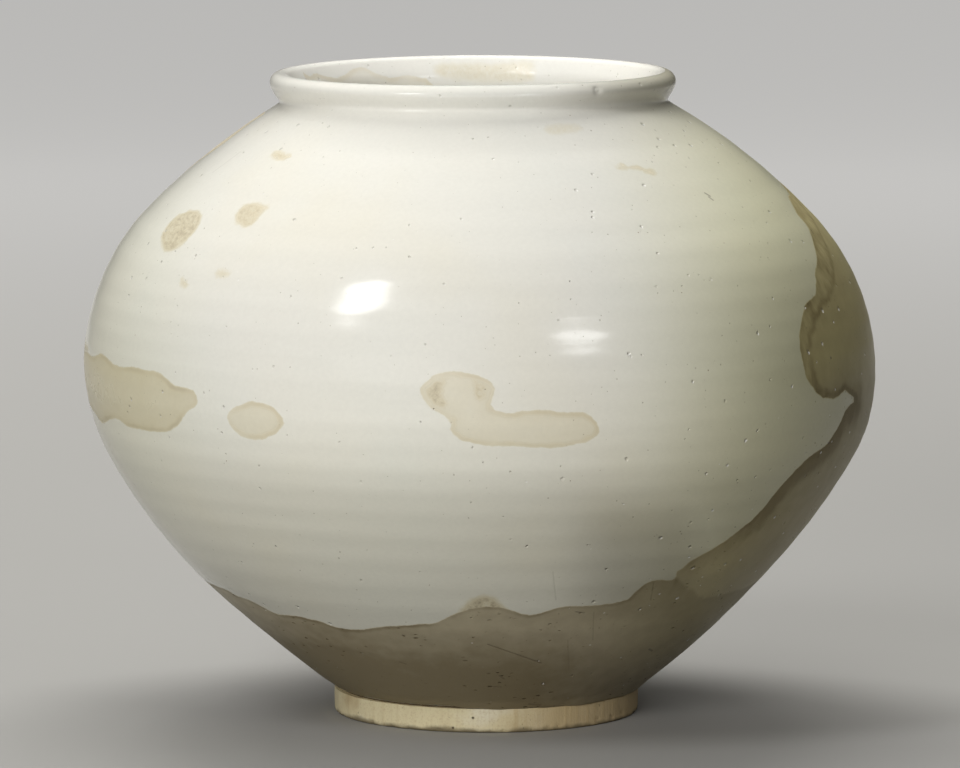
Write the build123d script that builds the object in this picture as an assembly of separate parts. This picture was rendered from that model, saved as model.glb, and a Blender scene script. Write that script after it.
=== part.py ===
from build123d import *
from collections import namedtuple
from math import acos, atan2, cos, degrees, radians, sin, sqrt
import os

# A moon jar: two thrown bowls luted rim to rim, with a thrown mouth rim and a turned foot ring.
# Sizes are in millimetres and angles in degrees. The outline sizes are those of the fired clay,
# and the glaze lies on it. The jar stands on the ground at height zero.

# Widest girth and the wall below it
BELLY_RADIUS = 219.2
BELLY_HEIGHT = 193.0
KNUCKLE_RADIUS = 100.5      # round of the wall just under the girth
KNUCKLE_LEAN = 30.0         # outward lean of the wall where that round ends
BASE_LEAN = 53.0            # outward lean of the wall where it leaves the foot
SHOULDER_LEAN = 60.0        # inward lean of the wall where it meets the neck

# Mouth rim
JAR_HEIGHT = 357.2          # crest of the lip
LIP_ROUND = 5.0             # round from the crest to the widest part of the lip
LIP_UNDER_ROUND = 9.2       # round of the lip's underside
LIP_INNER_ROUND = 4.2       # round from the crest to the inside of the mouth
NECK_RADIUS = 106.2
LIP_OVERHANG = 5.1          # reach of the lip beyond the neck
NECK_COVE = 3.3             # hollow round between neck and shoulder
THROAT_INSET = 8.4          # from the neck in to the narrowest part of the mouth
THROAT_ROUND = 9.2
MOUTH_FLARE = 30.0          # outward lean of the mouth above the throat

# Foot ring
FOOT_RADIUS = 84.0
FOOT_HEIGHT = 14.5
FOOT_WIDTH = 13.0
FOOT_EDGE = 1.5             # worn round of the edges that the jar stands on

# Walls, joints and glaze
WALL = 7.0
FLOOR_THICKNESS = 11.5
SEAM_DROP = 33.0            # from the girth down to the middle of the joint between the two bowls
SLIP = 1.2                  # thickness of the luting slip in each joint
GLAZE = 0.8
BARE_STRIP = 3.0            # unglazed height inside the foot ring, above the ground

# The body leans over the upright foot by this much at the crest, towards -X
LEAN_AT_CREST = 8.1

LIP_RADIUS = NECK_RADIUS + LIP_OVERHANG
THROAT_RADIUS = NECK_RADIUS - THROAT_INSET
SEAM_HEIGHT = BELLY_HEIGHT - SEAM_DROP

# A place on an outline, with the lean of the wall there: 0 is upright, positive leans outwards going up
Station = namedtuple("Station", "r z lean")


def heading(lean):
    """Direction along a wall of this lean, going up, as radius and height."""
    return sin(radians(lean)), cos(radians(lean))


def moved_out(station, distance):
    """The station carried outwards, square to the wall."""
    along_r, along_z = heading(station.lean)
    return Station(station.r + distance * along_z, station.z - distance * along_r, station.lean)


def around(r, z, radius, lean):
    """Station on a round whose centre lies on its outer side, at the place where its lean is the given one."""
    along_r, along_z = heading(lean)
    return Station(r - radius * along_z, z + radius * along_r, lean)


def between(start, end):
    """Station where two arcs meet that run from one station to another, tangent to both."""
    start_r, start_z = heading(start.lean)
    end_r, end_z = heading(end.lean)
    span_r, span_z = end.r - start.r, end.z - start.z
    spread = 2 * (1 - start_r * end_r - start_z * end_z)
    along = span_r * (start_r + end_r) + span_z * (start_z + end_z)
    reach = (sqrt(along**2 + spread * (span_r**2 + span_z**2)) - along) / spread
    return Station(
        (start.r + end.r + reach * (start_r - end_r)) / 2,
        (start.z + end.z + reach * (start_z - end_z)) / 2,
        degrees(atan2(span_r - reach * (start_r + end_r), span_z - reach * (start_z + end_z))),
    )


def outer_outline():
    """Outside of the clay, from the foot up to the crest of the lip."""
    foot = Station(FOOT_RADIUS, FOOT_HEIGHT, BASE_LEAN)
    belly = Station(BELLY_RADIUS, BELLY_HEIGHT, 0.0)
    knuckle = around(BELLY_RADIUS - KNUCKLE_RADIUS, BELLY_HEIGHT, -KNUCKLE_RADIUS, KNUCKLE_LEAN)
    lip = Station(LIP_RADIUS, JAR_HEIGHT - LIP_ROUND, 0.0)
    crest = Station(LIP_RADIUS - LIP_ROUND, JAR_HEIGHT, -90.0)
    undercut = degrees(acos(1 - (LIP_RADIUS - NECK_RADIUS) / (LIP_UNDER_ROUND + NECK_COVE)))
    under_lip = around(LIP_RADIUS - LIP_UNDER_ROUND, lip.z, -LIP_UNDER_ROUND, undercut)
    cove_r, cove_z = NECK_RADIUS + NECK_COVE, lip.z - (LIP_UNDER_ROUND + NECK_COVE) * heading(undercut)[0]
    neck = around(cove_r, cove_z, NECK_COVE, 0.0)
    shoulder = around(cove_r, cove_z, NECK_COVE, -SHOULDER_LEAN)
    return [
        foot,
        between(foot, knuckle),
        knuckle,
        belly,
        between(belly, shoulder),
        shoulder,
        neck,
        under_lip,
        lip,
        crest,
    ]


OUTER = outer_outline()
LOWER_WALL, KNUCKLE, BELLY, NECK, CREST = OUTER[1], OUTER[2], OUTER[3], OUTER[6], OUTER[-1]


def inner_outline():
    """Inside of the clay, from the middle of the floor up to the crest of the lip."""
    floor = Station(0.0, FOOT_HEIGHT + FLOOR_THICKNESS, 90.0)
    lower_wall, knuckle, belly = [moved_out(place, -WALL) for place in (LOWER_WALL, KNUCKLE, BELLY)]
    crest = Station(CREST.r, CREST.z, 90.0)
    flare_top = around(CREST.r, CREST.z - LIP_INNER_ROUND, LIP_INNER_ROUND, MOUTH_FLARE)
    flare_r, flare_z = heading(MOUTH_FLARE)
    throat_r = THROAT_RADIUS + THROAT_ROUND
    throat_z = flare_top.z - (THROAT_ROUND - (throat_r - flare_top.r) * flare_z) / flare_r
    flare_foot = around(throat_r, throat_z, THROAT_ROUND, MOUTH_FLARE)
    under_throat = around(throat_r, throat_z, THROAT_ROUND, -SHOULDER_LEAN)
    return [
        floor,
        between(floor, lower_wall),
        lower_wall,
        knuckle,
        belly,
        between(belly, under_throat),
        under_throat,
        flare_foot,
        flare_top,
        crest,
    ]


INNER = inner_outline()


def place(r, z):
    """Point of the half section."""
    return Vector(r, 0, z)


def curve(stations):
    """Arcs and straight runs through stations, each tangent to the next."""
    edges = []
    for start, end in zip(stations, stations[1:]):
        ends = place(start.r, start.z), place(end.r, end.z)
        straight = start.lean == end.lean
        edges.append(Line(*ends) if straight else TangentArc(*ends, tangent=place(*heading(start.lean))))
    return edges


def closed(*chains):
    """Face of the half section between chains of edges, joined by straight runs."""
    edges = []
    for chain, following in zip(chains, chains[1:] + chains[:1]):
        edges += chain
        if (chain[-1] @ 1 - following[0] @ 0).length > 1e-6:
            edges.append(Line(chain[-1] @ 1, following[0] @ 0))
    return make_face(edges)


def backwards(chain):
    """The same chain of edges, run from its other end."""
    return [edge.reversed(reconstruct=True) for edge in reversed(chain)]


def slice_of(section, low, high):
    """The part of a half section between two heights."""
    above = split(section, bisect_by=Plane.XY.offset(low), keep=Keep.TOP)
    return split(above, bisect_by=Plane.XY.offset(high), keep=Keep.BOTTOM)


def turned(section):
    """Solid of revolution of a half section."""
    return revolve(section, axis=Axis.Z)


# Half section of the clay body, cut level at its two luted joints
body = closed(curve(OUTER), backwards(curve(INNER)), [Line(place(0, INNER[0].z), place(0, FOOT_HEIGHT))])
SEAM_LOW, SEAM_HIGH = SEAM_HEIGHT - SLIP / 2, SEAM_HEIGHT + SLIP / 2
RIM_LOW, RIM_HIGH = NECK.z - SLIP, NECK.z
leaning = {
    "lower_bowl": slice_of(body, FOOT_HEIGHT, SEAM_LOW),
    "belly_slip": slice_of(body, SEAM_LOW, SEAM_HIGH),
    "upper_bowl": slice_of(body, SEAM_HIGH, RIM_LOW),
    "rim_slip": slice_of(body, RIM_LOW, RIM_HIGH),
    "mouth_rim": slice_of(body, RIM_HIGH, JAR_HEIGHT),
}

# Glaze coats, which meet at the crest
leaning["outer_glaze"] = closed(curve([moved_out(s, GLAZE) for s in OUTER]), backwards(curve(OUTER)))
leaning["inner_glaze"] = closed(curve(INNER), backwards(curve([moved_out(s, -GLAZE) for s in INNER])))

# Foot ring, its slip, and the glaze in the hollow under the floor
FOOT_INNER = FOOT_RADIUS - FOOT_WIDTH
SLIP_UNDER = FOOT_HEIGHT - SLIP


def ring_section(inner, outer, low, high):
    """Rectangle of the half section between two radii and two heights."""
    corners = [place(inner, low), place(outer, low), place(outer, high), place(inner, high)]
    return make_face(Polyline(*corners, close=True))


foot = ring_section(FOOT_INNER, FOOT_RADIUS, 0, SLIP_UNDER)
base_coat = Polyline(
    place(0, FOOT_HEIGHT),
    place(FOOT_INNER, FOOT_HEIGHT),
    place(FOOT_INNER, BARE_STRIP),
    place(FOOT_INNER - GLAZE, BARE_STRIP),
    place(FOOT_INNER - GLAZE, FOOT_HEIGHT - GLAZE),
    place(0, FOOT_HEIGHT - GLAZE),
    close=True,
)
upright = {
    "foot_ring": fillet(foot.vertices().sort_by(Axis.Z)[:2], FOOT_EDGE),
    "foot_slip": ring_section(FOOT_INNER, FOOT_RADIUS, SLIP_UNDER, FOOT_HEIGHT),
    "base_glaze": make_face(base_coat),
}

# The foot stands to the side of the origin, so that the leaning belly is centred over it
LEAN_RATE = LEAN_AT_CREST / (JAR_HEIGHT - FOOT_HEIGHT)
FOOT_OFFSET = LEAN_RATE * (BELLY_HEIGHT - FOOT_HEIGHT)
lean = Matrix([[1, 0, -LEAN_RATE, LEAN_RATE * BELLY_HEIGHT], [0, 1, 0, 0], [0, 0, 1, 0]])

os.makedirs("parts", exist_ok=True)
for name, section in leaning.items():
    export_step(turned(section).transform_geometry(lean), f"parts/{name}.step")
for name, section in upright.items():
    export_step(Pos(FOOT_OFFSET, 0, 0) * turned(section), f"parts/{name}.step")
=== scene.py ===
"""A porcelain moon jar in metres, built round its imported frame: thrown clay, glaze coats and a bare foot.

Every ring of the jar is a half section spun about an upright axis. One cage then leans and warps
all the rings alike. The stains in the glaze are outlines on the coat, kept as signed distances.
"""

import logging
import math
import random
from dataclasses import dataclass, field
from enum import Enum
from typing import Any, Callable, NamedTuple, Optional, Sequence, Union

import bpy
import numpy as np
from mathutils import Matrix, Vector


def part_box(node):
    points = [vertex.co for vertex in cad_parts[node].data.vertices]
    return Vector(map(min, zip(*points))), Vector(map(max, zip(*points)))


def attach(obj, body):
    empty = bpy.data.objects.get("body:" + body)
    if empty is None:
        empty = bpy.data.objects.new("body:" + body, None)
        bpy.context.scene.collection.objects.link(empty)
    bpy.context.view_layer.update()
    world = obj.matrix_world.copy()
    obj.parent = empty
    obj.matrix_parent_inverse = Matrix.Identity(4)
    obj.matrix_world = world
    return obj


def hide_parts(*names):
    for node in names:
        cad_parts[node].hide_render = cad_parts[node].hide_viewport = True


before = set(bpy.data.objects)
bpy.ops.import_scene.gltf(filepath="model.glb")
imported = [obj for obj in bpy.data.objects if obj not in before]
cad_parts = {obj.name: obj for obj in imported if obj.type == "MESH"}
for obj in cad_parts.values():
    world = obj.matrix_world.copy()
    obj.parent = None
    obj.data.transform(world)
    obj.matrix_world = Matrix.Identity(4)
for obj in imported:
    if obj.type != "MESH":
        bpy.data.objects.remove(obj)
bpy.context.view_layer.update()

LOG = logging.getLogger("moon_jar")
MM = 0.001
BODY = "root"
WELD = 0.01 * MM
TINY = 1e-12

Spot = tuple[float, float]
Pixel = tuple[float, float]
Span = tuple[float, float]
Triple = tuple[float, float, float]
Colour = Triple
Number = Union[float, np.ndarray]


# Half sections

class Station(NamedTuple):
    """Place on a half section, in metres, with the lean of the wall there in degrees."""

    r: float
    z: float
    lean: float


def heading(lean: float) -> Spot:
    """Direction along a wall of this lean, going up, as radius and height."""
    return math.sin(math.radians(lean)), math.cos(math.radians(lean))


def moved_out(station: Station, distance: float) -> Station:
    """The station carried outwards, square to the wall."""
    along_r, along_z = heading(station.lean)
    return Station(station.r + distance * along_z, station.z - distance * along_r, station.lean)


def around(r: float, z: float, radius: float, lean: float) -> Station:
    """Station on a round about a centre on its outer side, where the round has this lean."""
    along_r, along_z = heading(lean)
    return Station(r - radius * along_z, z + radius * along_r, lean)


def between(start: Station, end: Station) -> Station:
    """Station where two arcs of equal reach meet that join two stations.

    Args:
        start: Station that the first arc leaves along its lean.
        end: Station that the second arc reaches along its lean.

    Returns:
        The place where the arcs touch, with their common lean.
    """
    start_r, start_z = heading(start.lean)
    end_r, end_z = heading(end.lean)
    span_r, span_z = end.r - start.r, end.z - start.z
    spread = 2 * (1 - start_r * end_r - start_z * end_z)
    along = span_r * (start_r + end_r) + span_z * (start_z + end_z)
    reach = (math.sqrt(along**2 + spread * (span_r**2 + span_z**2)) - along) / spread
    lean = math.atan2(span_r - reach * (start_r + end_r), span_z - reach * (start_z + end_z))
    return Station(
        (start.r + end.r + reach * (start_r - end_r)) / 2,
        (start.z + end.z + reach * (start_z - end_z)) / 2,
        math.degrees(lean),
    )


def arc(start: Station, end: Station, step: float, finest_turn: float = 9.0) -> list[Spot]:
    """Points of the arc from one station to the next, without the last.

    Args:
        start: First station.
        end: Last station.
        step: Longest distance between points.
        finest_turn: Largest turn between points, in degrees.

    Returns:
        Radius and height of each point.
    """
    turn = math.radians(end.lean - start.lean)
    chord = math.hypot(end.r - start.r, end.z - start.z)
    count = max(1, math.ceil(chord / step), math.ceil(abs(math.degrees(turn)) / finest_turn))
    spots = []
    for index in range(count):
        share = index / count
        reach = chord * (math.sin(share * turn / 2) / math.sin(turn / 2) if turn else share)
        way = math.radians(start.lean) + share * turn / 2
        spots.append((start.r + reach * math.sin(way), start.z + reach * math.cos(way)))
    return spots


def curve(stations: Sequence[Station], step: float) -> list[Spot]:
    """Points along arcs that join stations, with both ends."""
    spots = [spot for pair in zip(stations, stations[1:]) for spot in arc(*pair, step)]
    return spots + [(stations[-1].r, stations[-1].z)]


def stretch(spots: Sequence[Spot], low: float, high: float) -> list[Spot]:
    """The part of a rising line between two heights.

    Args:
        spots: Points of the line, in order of height.
        low: Height of the lower cut.
        high: Height of the upper cut.

    Returns:
        The points between the cuts, with one exactly at each cut.
    """
    radii, heights = zip(*spots)
    ends = [(float(np.interp(z, heights, radii)), z) for z in (low, high)]
    return [ends[0], *[spot for spot in spots if low < spot[1] < high], ends[1]]


def softly(value: Number, start: float, end: float) -> Number:
    """Smooth step from 0 at start to 1 at end."""
    share = np.clip((value - start) / (end - start), 0.0, 1.0)
    return share * share * (3 - 2 * share)


@dataclass(frozen=True)
class JarOutline:
    """Outline of the fired clay, upright and round, before the kiln warped it."""

    belly_radius: float
    crest: float
    lip_radius: float
    foot_radius: float
    foot_top: float
    floor: float
    glaze: float
    belly_height: float = 193.0 * MM
    knuckle_radius: float = 100.5 * MM
    knuckle_lean: float = 30.0
    base_lean: float = 53.0
    shoulder_lean: float = 60.0
    lip_round: float = 5.0 * MM
    lip_under_round: float = 5.5 * MM
    lip_undercut: float = 30.0
    lip_inner_round: float = 4.2 * MM
    lip_overhang: float = 4.7 * MM
    neck_cove: float = 3.0 * MM
    throat_inset: float = 8.4 * MM
    throat_round: float = 9.2 * MM
    mouth_flare: float = 30.0
    wall: float = 7.0 * MM
    warp_room: float = 0.6 * MM
    crest_room: float = 0.3 * MM

    @classmethod
    def from_frame(cls) -> "JarOutline":
        """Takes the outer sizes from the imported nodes.

        Returns:
            The outline, with room for the warp inside the CAD box.
        """
        bowl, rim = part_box("upper_bowl")[1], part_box("mouth_rim")[1]
        return cls(
            belly_radius=bowl.y - cls.warp_room,
            crest=rim.z - cls.crest_room,
            lip_radius=rim.y,
            foot_radius=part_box("foot_ring")[1].y,
            foot_top=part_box("foot_slip")[1].z,
            floor=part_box("inner_glaze")[0].z,
            glaze=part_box("outer_glaze")[1].y - bowl.y,
        )

    @property
    def neck_radius(self) -> float:
        """Outer radius of the neck under the lip."""
        return self.lip_radius - self.lip_overhang

    def outer(self) -> list[Station]:
        """Outside of the clay.

        Returns:
            Stations from the foot up to the crest of the lip.
        """
        foot = Station(self.foot_radius, self.foot_top, self.base_lean)
        belly = Station(self.belly_radius, self.belly_height, 0.0)
        knuckle_r = self.belly_radius - self.knuckle_radius
        knuckle = around(knuckle_r, self.belly_height, -self.knuckle_radius, self.knuckle_lean)
        lip = Station(self.lip_radius, self.crest - self.lip_round, 0.0)
        crest = Station(self.lip_radius - self.lip_round, self.crest, -90.0)
        under_r = self.lip_radius - self.lip_under_round
        under_lip = around(under_r, lip.z, -self.lip_under_round, self.lip_undercut)
        cove_r = self.neck_radius + self.neck_cove
        slope = math.tan(math.radians(self.lip_undercut))
        neck_top = around(cove_r, 0.0, self.neck_cove, self.lip_undercut)
        cove_z = under_lip.z - (under_lip.r - neck_top.r) / slope - neck_top.z
        neck_top = around(cove_r, cove_z, self.neck_cove, self.lip_undercut)
        neck = around(cove_r, cove_z, self.neck_cove, 0.0)
        shoulder = around(cove_r, cove_z, self.neck_cove, -self.shoulder_lean)
        return [
            foot, between(foot, knuckle), knuckle, belly, between(belly, shoulder),
            shoulder, neck, neck_top, under_lip, lip, crest,
        ]

    def inner(self) -> list[Station]:
        """Inside of the clay.

        Returns:
            Stations from the middle of the floor up to the crest of the lip.
        """
        outer = self.outer()
        floor = Station(0.0, self.floor, 90.0)
        lower_wall, knuckle, belly = [moved_out(station, -self.wall) for station in outer[1:4]]
        top_r, top_z = outer[-1].r, outer[-1].z
        flare_top = around(top_r, top_z - self.lip_inner_round, self.lip_inner_round, self.mouth_flare)
        flare_r, flare_z = heading(self.mouth_flare)
        throat_r = self.neck_radius - self.throat_inset + self.throat_round
        throat_z = flare_top.z - (self.throat_round - (throat_r - flare_top.r) * flare_z) / flare_r
        flare_foot = around(throat_r, throat_z, self.throat_round, self.mouth_flare)
        under_throat = around(throat_r, throat_z, self.throat_round, -self.shoulder_lean)
        return [
            floor, between(floor, lower_wall), lower_wall, knuckle, belly, between(belly, under_throat),
            under_throat, flare_foot, flare_top, Station(top_r, top_z, 90.0),
        ]


@dataclass(frozen=True)
class Lean:
    """The slant of the jar's axis over its upright foot."""

    foot_x: float
    foot_z: float
    rate: float

    @classmethod
    def from_frame(cls) -> "Lean":
        """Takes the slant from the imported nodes.

        Returns:
            The slant between the foot ring and the joint under the mouth rim.
        """
        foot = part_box("foot_slip")
        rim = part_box("rim_slip")
        foot_x, rim_x = (foot[0].x + foot[1].x) / 2, (rim[0].x + rim[1].x) / 2
        return cls(foot_x, foot[1].z, (foot_x - rim_x) / ((rim[0].z + rim[1].z) / 2 - foot[1].z))

    def axis_x(self, height: Number) -> Number:
        """Where the axis is at a height."""
        return self.foot_x - self.rate * (height - self.foot_z)


# Modelling by hand

def alone(piece: Optional[bpy.types.Object] = None) -> None:
    """Deselects everything, and then selects and activates the piece, if one is given.

    Args:
        piece: The piece to work on next, or None.
    """
    bpy.ops.object.select_all(action="DESELECT")
    if piece is not None:
        piece.select_set(True)
        bpy.context.view_layer.objects.active = piece


@dataclass
class SpunPiece:
    """One ring of the jar: a half section spun about an upright axis.

    A section that starts on the axis is open and ends there too, and any other section is closed.
    """

    node: str
    slot: str
    section: list[Spot]
    segments: int
    axis_x: float = 0.0
    smooth_angle: float = 42.0
    mesh: Optional[bpy.types.Object] = None

    def build(self) -> None:
        """Spins the section into a closed mesh that replaces its CAD node."""
        alone()
        (first_r, first_z), *others = self.section
        closed = first_r > 0
        start = (self.axis_x + first_r, 0.0, first_z)
        bpy.ops.mesh.primitive_plane_add(size=MM, location=start)
        self.mesh = bpy.context.object
        self.mesh.name = f"jar_{self.node}"
        bpy.ops.object.transform_apply(location=True, rotation=True, scale=True)
        bpy.ops.object.mode_set(mode="EDIT")
        bpy.ops.mesh.select_mode(type="VERT")
        bpy.ops.mesh.merge(type="CENTER")
        last_r, last_z = first_r, first_z
        for r, z in others + [self.section[0]] * closed:
            move = {"value": (r - last_r, 0.0, z - last_z)}
            bpy.ops.mesh.extrude_region_move(TRANSFORM_OT_translate=move)
            last_r, last_z = r, z
        self.tidy()
        centre = (self.axis_x, 0.0, 0.0)
        bpy.ops.mesh.spin(steps=self.segments, angle=math.tau, center=centre, axis=(0, 0, 1))
        self.tidy()
        bpy.ops.mesh.normals_make_consistent(inside=False)
        bpy.ops.object.mode_set(mode="OBJECT")
        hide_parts(self.node)

    def tidy(self) -> None:
        """Merges the doubled points of the mesh in edit mode."""
        bpy.ops.mesh.select_all(action="SELECT")
        bpy.ops.mesh.remove_doubles(threshold=WELD)
        bpy.ops.mesh.select_all(action="SELECT")

    def points(self) -> np.ndarray:
        """Places of the mesh's points.

        Returns:
            One row of coordinates for each point.
        """
        places = np.empty(len(self.mesh.data.vertices) * 3)
        self.mesh.data.vertices.foreach_get("co", places)
        return places.reshape(-1, 3)

    def shift(self, name: str, weights: np.ndarray, depth: float, way: str, grain: float = 0.0) -> None:
        """Moves part of the surface, evenly or in and out by a cloudy pattern.

        Args:
            name: What the shift is.
            weights: How much each point moves, from 0 to 1.
            depth: Distance of the move, or from the lowest to the highest cloud.
            way: Direction of the move, as the Displace modifier names it.
            grain: Size of the clouds, or 0 for an even move.
        """
        group = self.mesh.vertex_groups.new(name=name)
        for index in np.flatnonzero(weights > 0):
            group.add([int(index)], float(weights[index]), "REPLACE")
        modifier = self.mesh.modifiers.new(name, "DISPLACE")
        modifier.mid_level = 0.0
        if grain:
            modifier.texture = bpy.data.textures.new(f"{self.node} {name}", "CLOUDS")
            modifier.texture.noise_scale = grain
            modifier.texture.noise_depth = 2
            modifier.texture_coords = "LOCAL"
            modifier.mid_level = 0.5
        modifier.direction = way
        modifier.strength = depth
        modifier.vertex_group = group.name
        alone(self.mesh)
        bpy.ops.object.modifier_apply(modifier=modifier.name)

    def choose(self, points: Sequence[bool] = (), faces: Sequence[bool] = ()) -> None:
        """Selects points or faces of the mesh, and nothing else.

        Args:
            points: Whether each point is selected, or empty for none of them.
            faces: Whether each face is selected, or empty for none of them.
        """
        mesh = self.mesh.data
        for items, chosen in ((mesh.vertices, points), (mesh.edges, ()), (mesh.polygons, faces)):
            items.foreach_set("select", chosen if len(chosen) else [False] * len(items))

    def nick(self, place: Vector, push: Vector, radius: float, cuts: int = 0) -> None:
        """Knocks a small flake off the surface.

        Args:
            place: Middle of the flake.
            push: How far the surface moves there.
            radius: Reach of the flake.
            cuts: How often the faces round it are divided first.
        """
        alone(self.mesh)
        if cuts:
            near = [(face.center - place).length < 2 * radius for face in self.mesh.data.polygons]
            self.choose(faces=near)
            bpy.ops.object.mode_set(mode="EDIT")
            bpy.ops.mesh.select_mode(type="FACE")
            bpy.ops.mesh.subdivide(number_cuts=cuts, smoothness=0.0)
            bpy.ops.object.mode_set(mode="OBJECT")
        gaps = np.linalg.norm(self.points() - np.array(place), axis=1)
        chosen = np.zeros(len(gaps), bool)
        chosen[int(gaps.argmin())] = True
        self.choose(points=chosen)
        bpy.ops.object.mode_set(mode="EDIT")
        bpy.ops.mesh.select_mode(type="VERT")
        bpy.ops.transform.translate(
            value=push, use_proportional_edit=True, use_proportional_connected=True,
            proportional_edit_falloff="SHARP", proportional_size=radius,
        )
        bpy.ops.object.mode_set(mode="OBJECT")

    def dress(self, material: bpy.types.Material) -> None:
        """Gives the finished mesh its finish, shading and body.

        Args:
            material: The finish.
        """
        alone(self.mesh)
        bpy.ops.object.shade_smooth_by_angle(angle=math.radians(self.smooth_angle))
        self.mesh.data.materials.clear()
        self.mesh.data.materials.append(material)
        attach(self.mesh, BODY)
        LOG.info("%s: %d faces, %s", self.mesh.name, len(self.mesh.data.polygons), material.name)


@dataclass
class KilnWarp:
    """A cage that leans the round jar and gives it the unevenness of wheel and kiln."""

    lean: Lean
    reach: float = 235.0 * MM
    low: float = -40.0 * MM
    high: float = 400.0 * MM
    across: int = 5
    levels: int = 12
    waver: tuple[Spot, ...] = (
        (40 * MM, 0.0), (93 * MM, -2.4 * MM), (170 * MM, 0.6 * MM), (204 * MM, -0.3 * MM),
        (254 * MM, 0.3 * MM), (313 * MM, 0.3 * MM), (357 * MM, -0.4 * MM),
    )
    mouth_dip: float = 0.010
    dip_from: float = 270.0 * MM
    dip_to: float = 335.0 * MM
    unevenness: float = 0.6 * MM
    even_below: float = 25.0 * MM
    uneven_above: float = 95.0 * MM
    seed: int = 11
    cage: Optional[bpy.types.Object] = None

    def build(self) -> None:
        """Makes the cage and moves its points."""
        alone()
        bpy.ops.object.add(type="LATTICE", location=(0, 0, (self.low + self.high) / 2))
        self.cage = bpy.context.object
        cage = self.cage.data
        cage.points_u, cage.points_v, cage.points_w = self.across, self.across, self.levels
        cage.interpolation_type_u = cage.interpolation_type_v = "KEY_CATMULL_ROM"
        cage.interpolation_type_w = "KEY_CATMULL_ROM"
        rest = np.array([point.co for point in cage.points])
        span = rest.max(0) - rest.min(0)
        self.cage.scale = np.array([2 * self.reach, 2 * self.reach, self.high - self.low]) / span
        chance = random.Random(self.seed)
        heights, shifts = zip(*self.waver)
        for point, place in zip(cage.points, rest * self.cage.scale):
            x, z = place[0], place[2] + self.cage.location.z
            amount = self.unevenness * softly(z, self.even_below, self.uneven_above)
            jitter = Vector((chance.uniform(-amount, amount), chance.uniform(-amount, amount), 0))
            shift = self.lean.axis_x(z) + float(np.interp(z, heights, shifts))
            dip = self.mouth_dip * min(x, 0.0) * softly(z, self.dip_from, self.dip_to)
            move = Vector((shift, 0, dip)) + jitter
            point.co_deform = point.co + Vector([move[i] / self.cage.scale[i] for i in range(3)])
        bpy.context.view_layer.update()

    def press(self, piece: SpunPiece) -> None:
        """Warps one ring with the cage.

        Args:
            piece: The ring.
        """
        modifier = piece.mesh.modifiers.new("kiln warp", "LATTICE")
        modifier.object = self.cage
        alone(piece.mesh)
        bpy.ops.object.modifier_apply(modifier=modifier.name)

    def clear(self) -> None:
        """Takes the cage away once every ring is warped."""
        bpy.data.objects.remove(self.cage)
        self.cage = None


# Camera of the photograph

@dataclass(frozen=True)
class PhotoView:
    """Camera that stands where the photograph was taken from, in front of -Y."""

    width: int = 960
    height: int = 768
    pixel: float = 0.5564 * MM
    distance: float = 4.180
    elevation: float = 6.92
    target: Triple = (0.1 * MM, 0.0, 182.6 * MM)
    sensor: float = 36.0
    farthest: float = 40.0

    def axes(self) -> tuple[Vector, Vector]:
        """Directions forwards and up of the camera."""
        tilt = math.radians(self.elevation)
        return Vector((0, math.cos(tilt), -math.sin(tilt))), Vector((0, math.sin(tilt), math.cos(tilt)))

    def eye(self) -> Vector:
        """Place of the camera."""
        return Vector(self.target) - self.distance * self.axes()[0]

    def ray(self, pixel: Pixel) -> Vector:
        """Direction of a line of sight.

        Args:
            pixel: Place in the photograph.

        Returns:
            The way from the camera through that pixel, of length 1.
        """
        forwards, upwards = self.axes()
        right = Vector((1, 0, 0))
        across = (pixel[0] - self.width / 2) * self.pixel
        down = (pixel[1] - self.height / 2) * self.pixel
        return (forwards * self.distance + right * across - upwards * down).normalized()

    def seen(self, piece: SpunPiece, pixel: Pixel) -> Vector:
        """Place of a piece that shows at a pixel of the photograph.

        Args:
            piece: Piece that is looked at.
            pixel: Place in the photograph.

        Returns:
            The first place of the piece along the line of sight, or the point nearest to that line.
        """
        hit, place, _, _ = piece.mesh.ray_cast(self.eye(), self.ray(pixel))
        if hit:
            return place
        offsets = piece.points() - np.array(self.eye())
        way = np.array(self.ray(pixel))
        misses = np.linalg.norm(offsets - np.outer(offsets @ way, way), axis=1)
        return Vector(piece.points()[int(misses.argmin())])

    def build(self) -> None:
        """Adds the camera and makes it the scene's own."""
        alone()
        bpy.ops.object.camera_add(location=self.eye(), rotation=(math.radians(90 - self.elevation), 0, 0))
        camera = bpy.context.object
        camera.data.sensor_width = self.sensor
        camera.data.lens = self.sensor * self.distance / (self.width * self.pixel)
        camera.data.clip_end = self.farthest
        bpy.context.scene.camera = camera


# Stains in the glaze

class Layer(Enum):
    """How a stain shows: with a dark line along its edge, as a soft cloud, or as a line inside a stain."""

    TIDE = "tide"
    CLOUD = "cloud"
    CORE = "core"


class Shape(Enum):
    """How the points of a stain bound it: all round it, or as a line round the jar with the stain below."""

    PATCH = "patch"
    BAND = "band"


@dataclass(frozen=True)
class Stain:
    """Outline of one stain.

    The seen points are pixels of the photograph. The points behind are degrees from the front, towards
    +X, and millimetres above the ground, where the photograph doesn't reach. They follow the seen ones.
    The tone is the depth of the whole stain. The edge is the further depth of its dark margin, or the
    softness of a cloud.
    """

    name: str
    tone: float
    edge: float
    seen: tuple[Pixel, ...] = ()
    behind: tuple[Spot, ...] = ()
    layer: Layer = Layer.TIDE
    shape: Shape = Shape.PATCH


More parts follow.
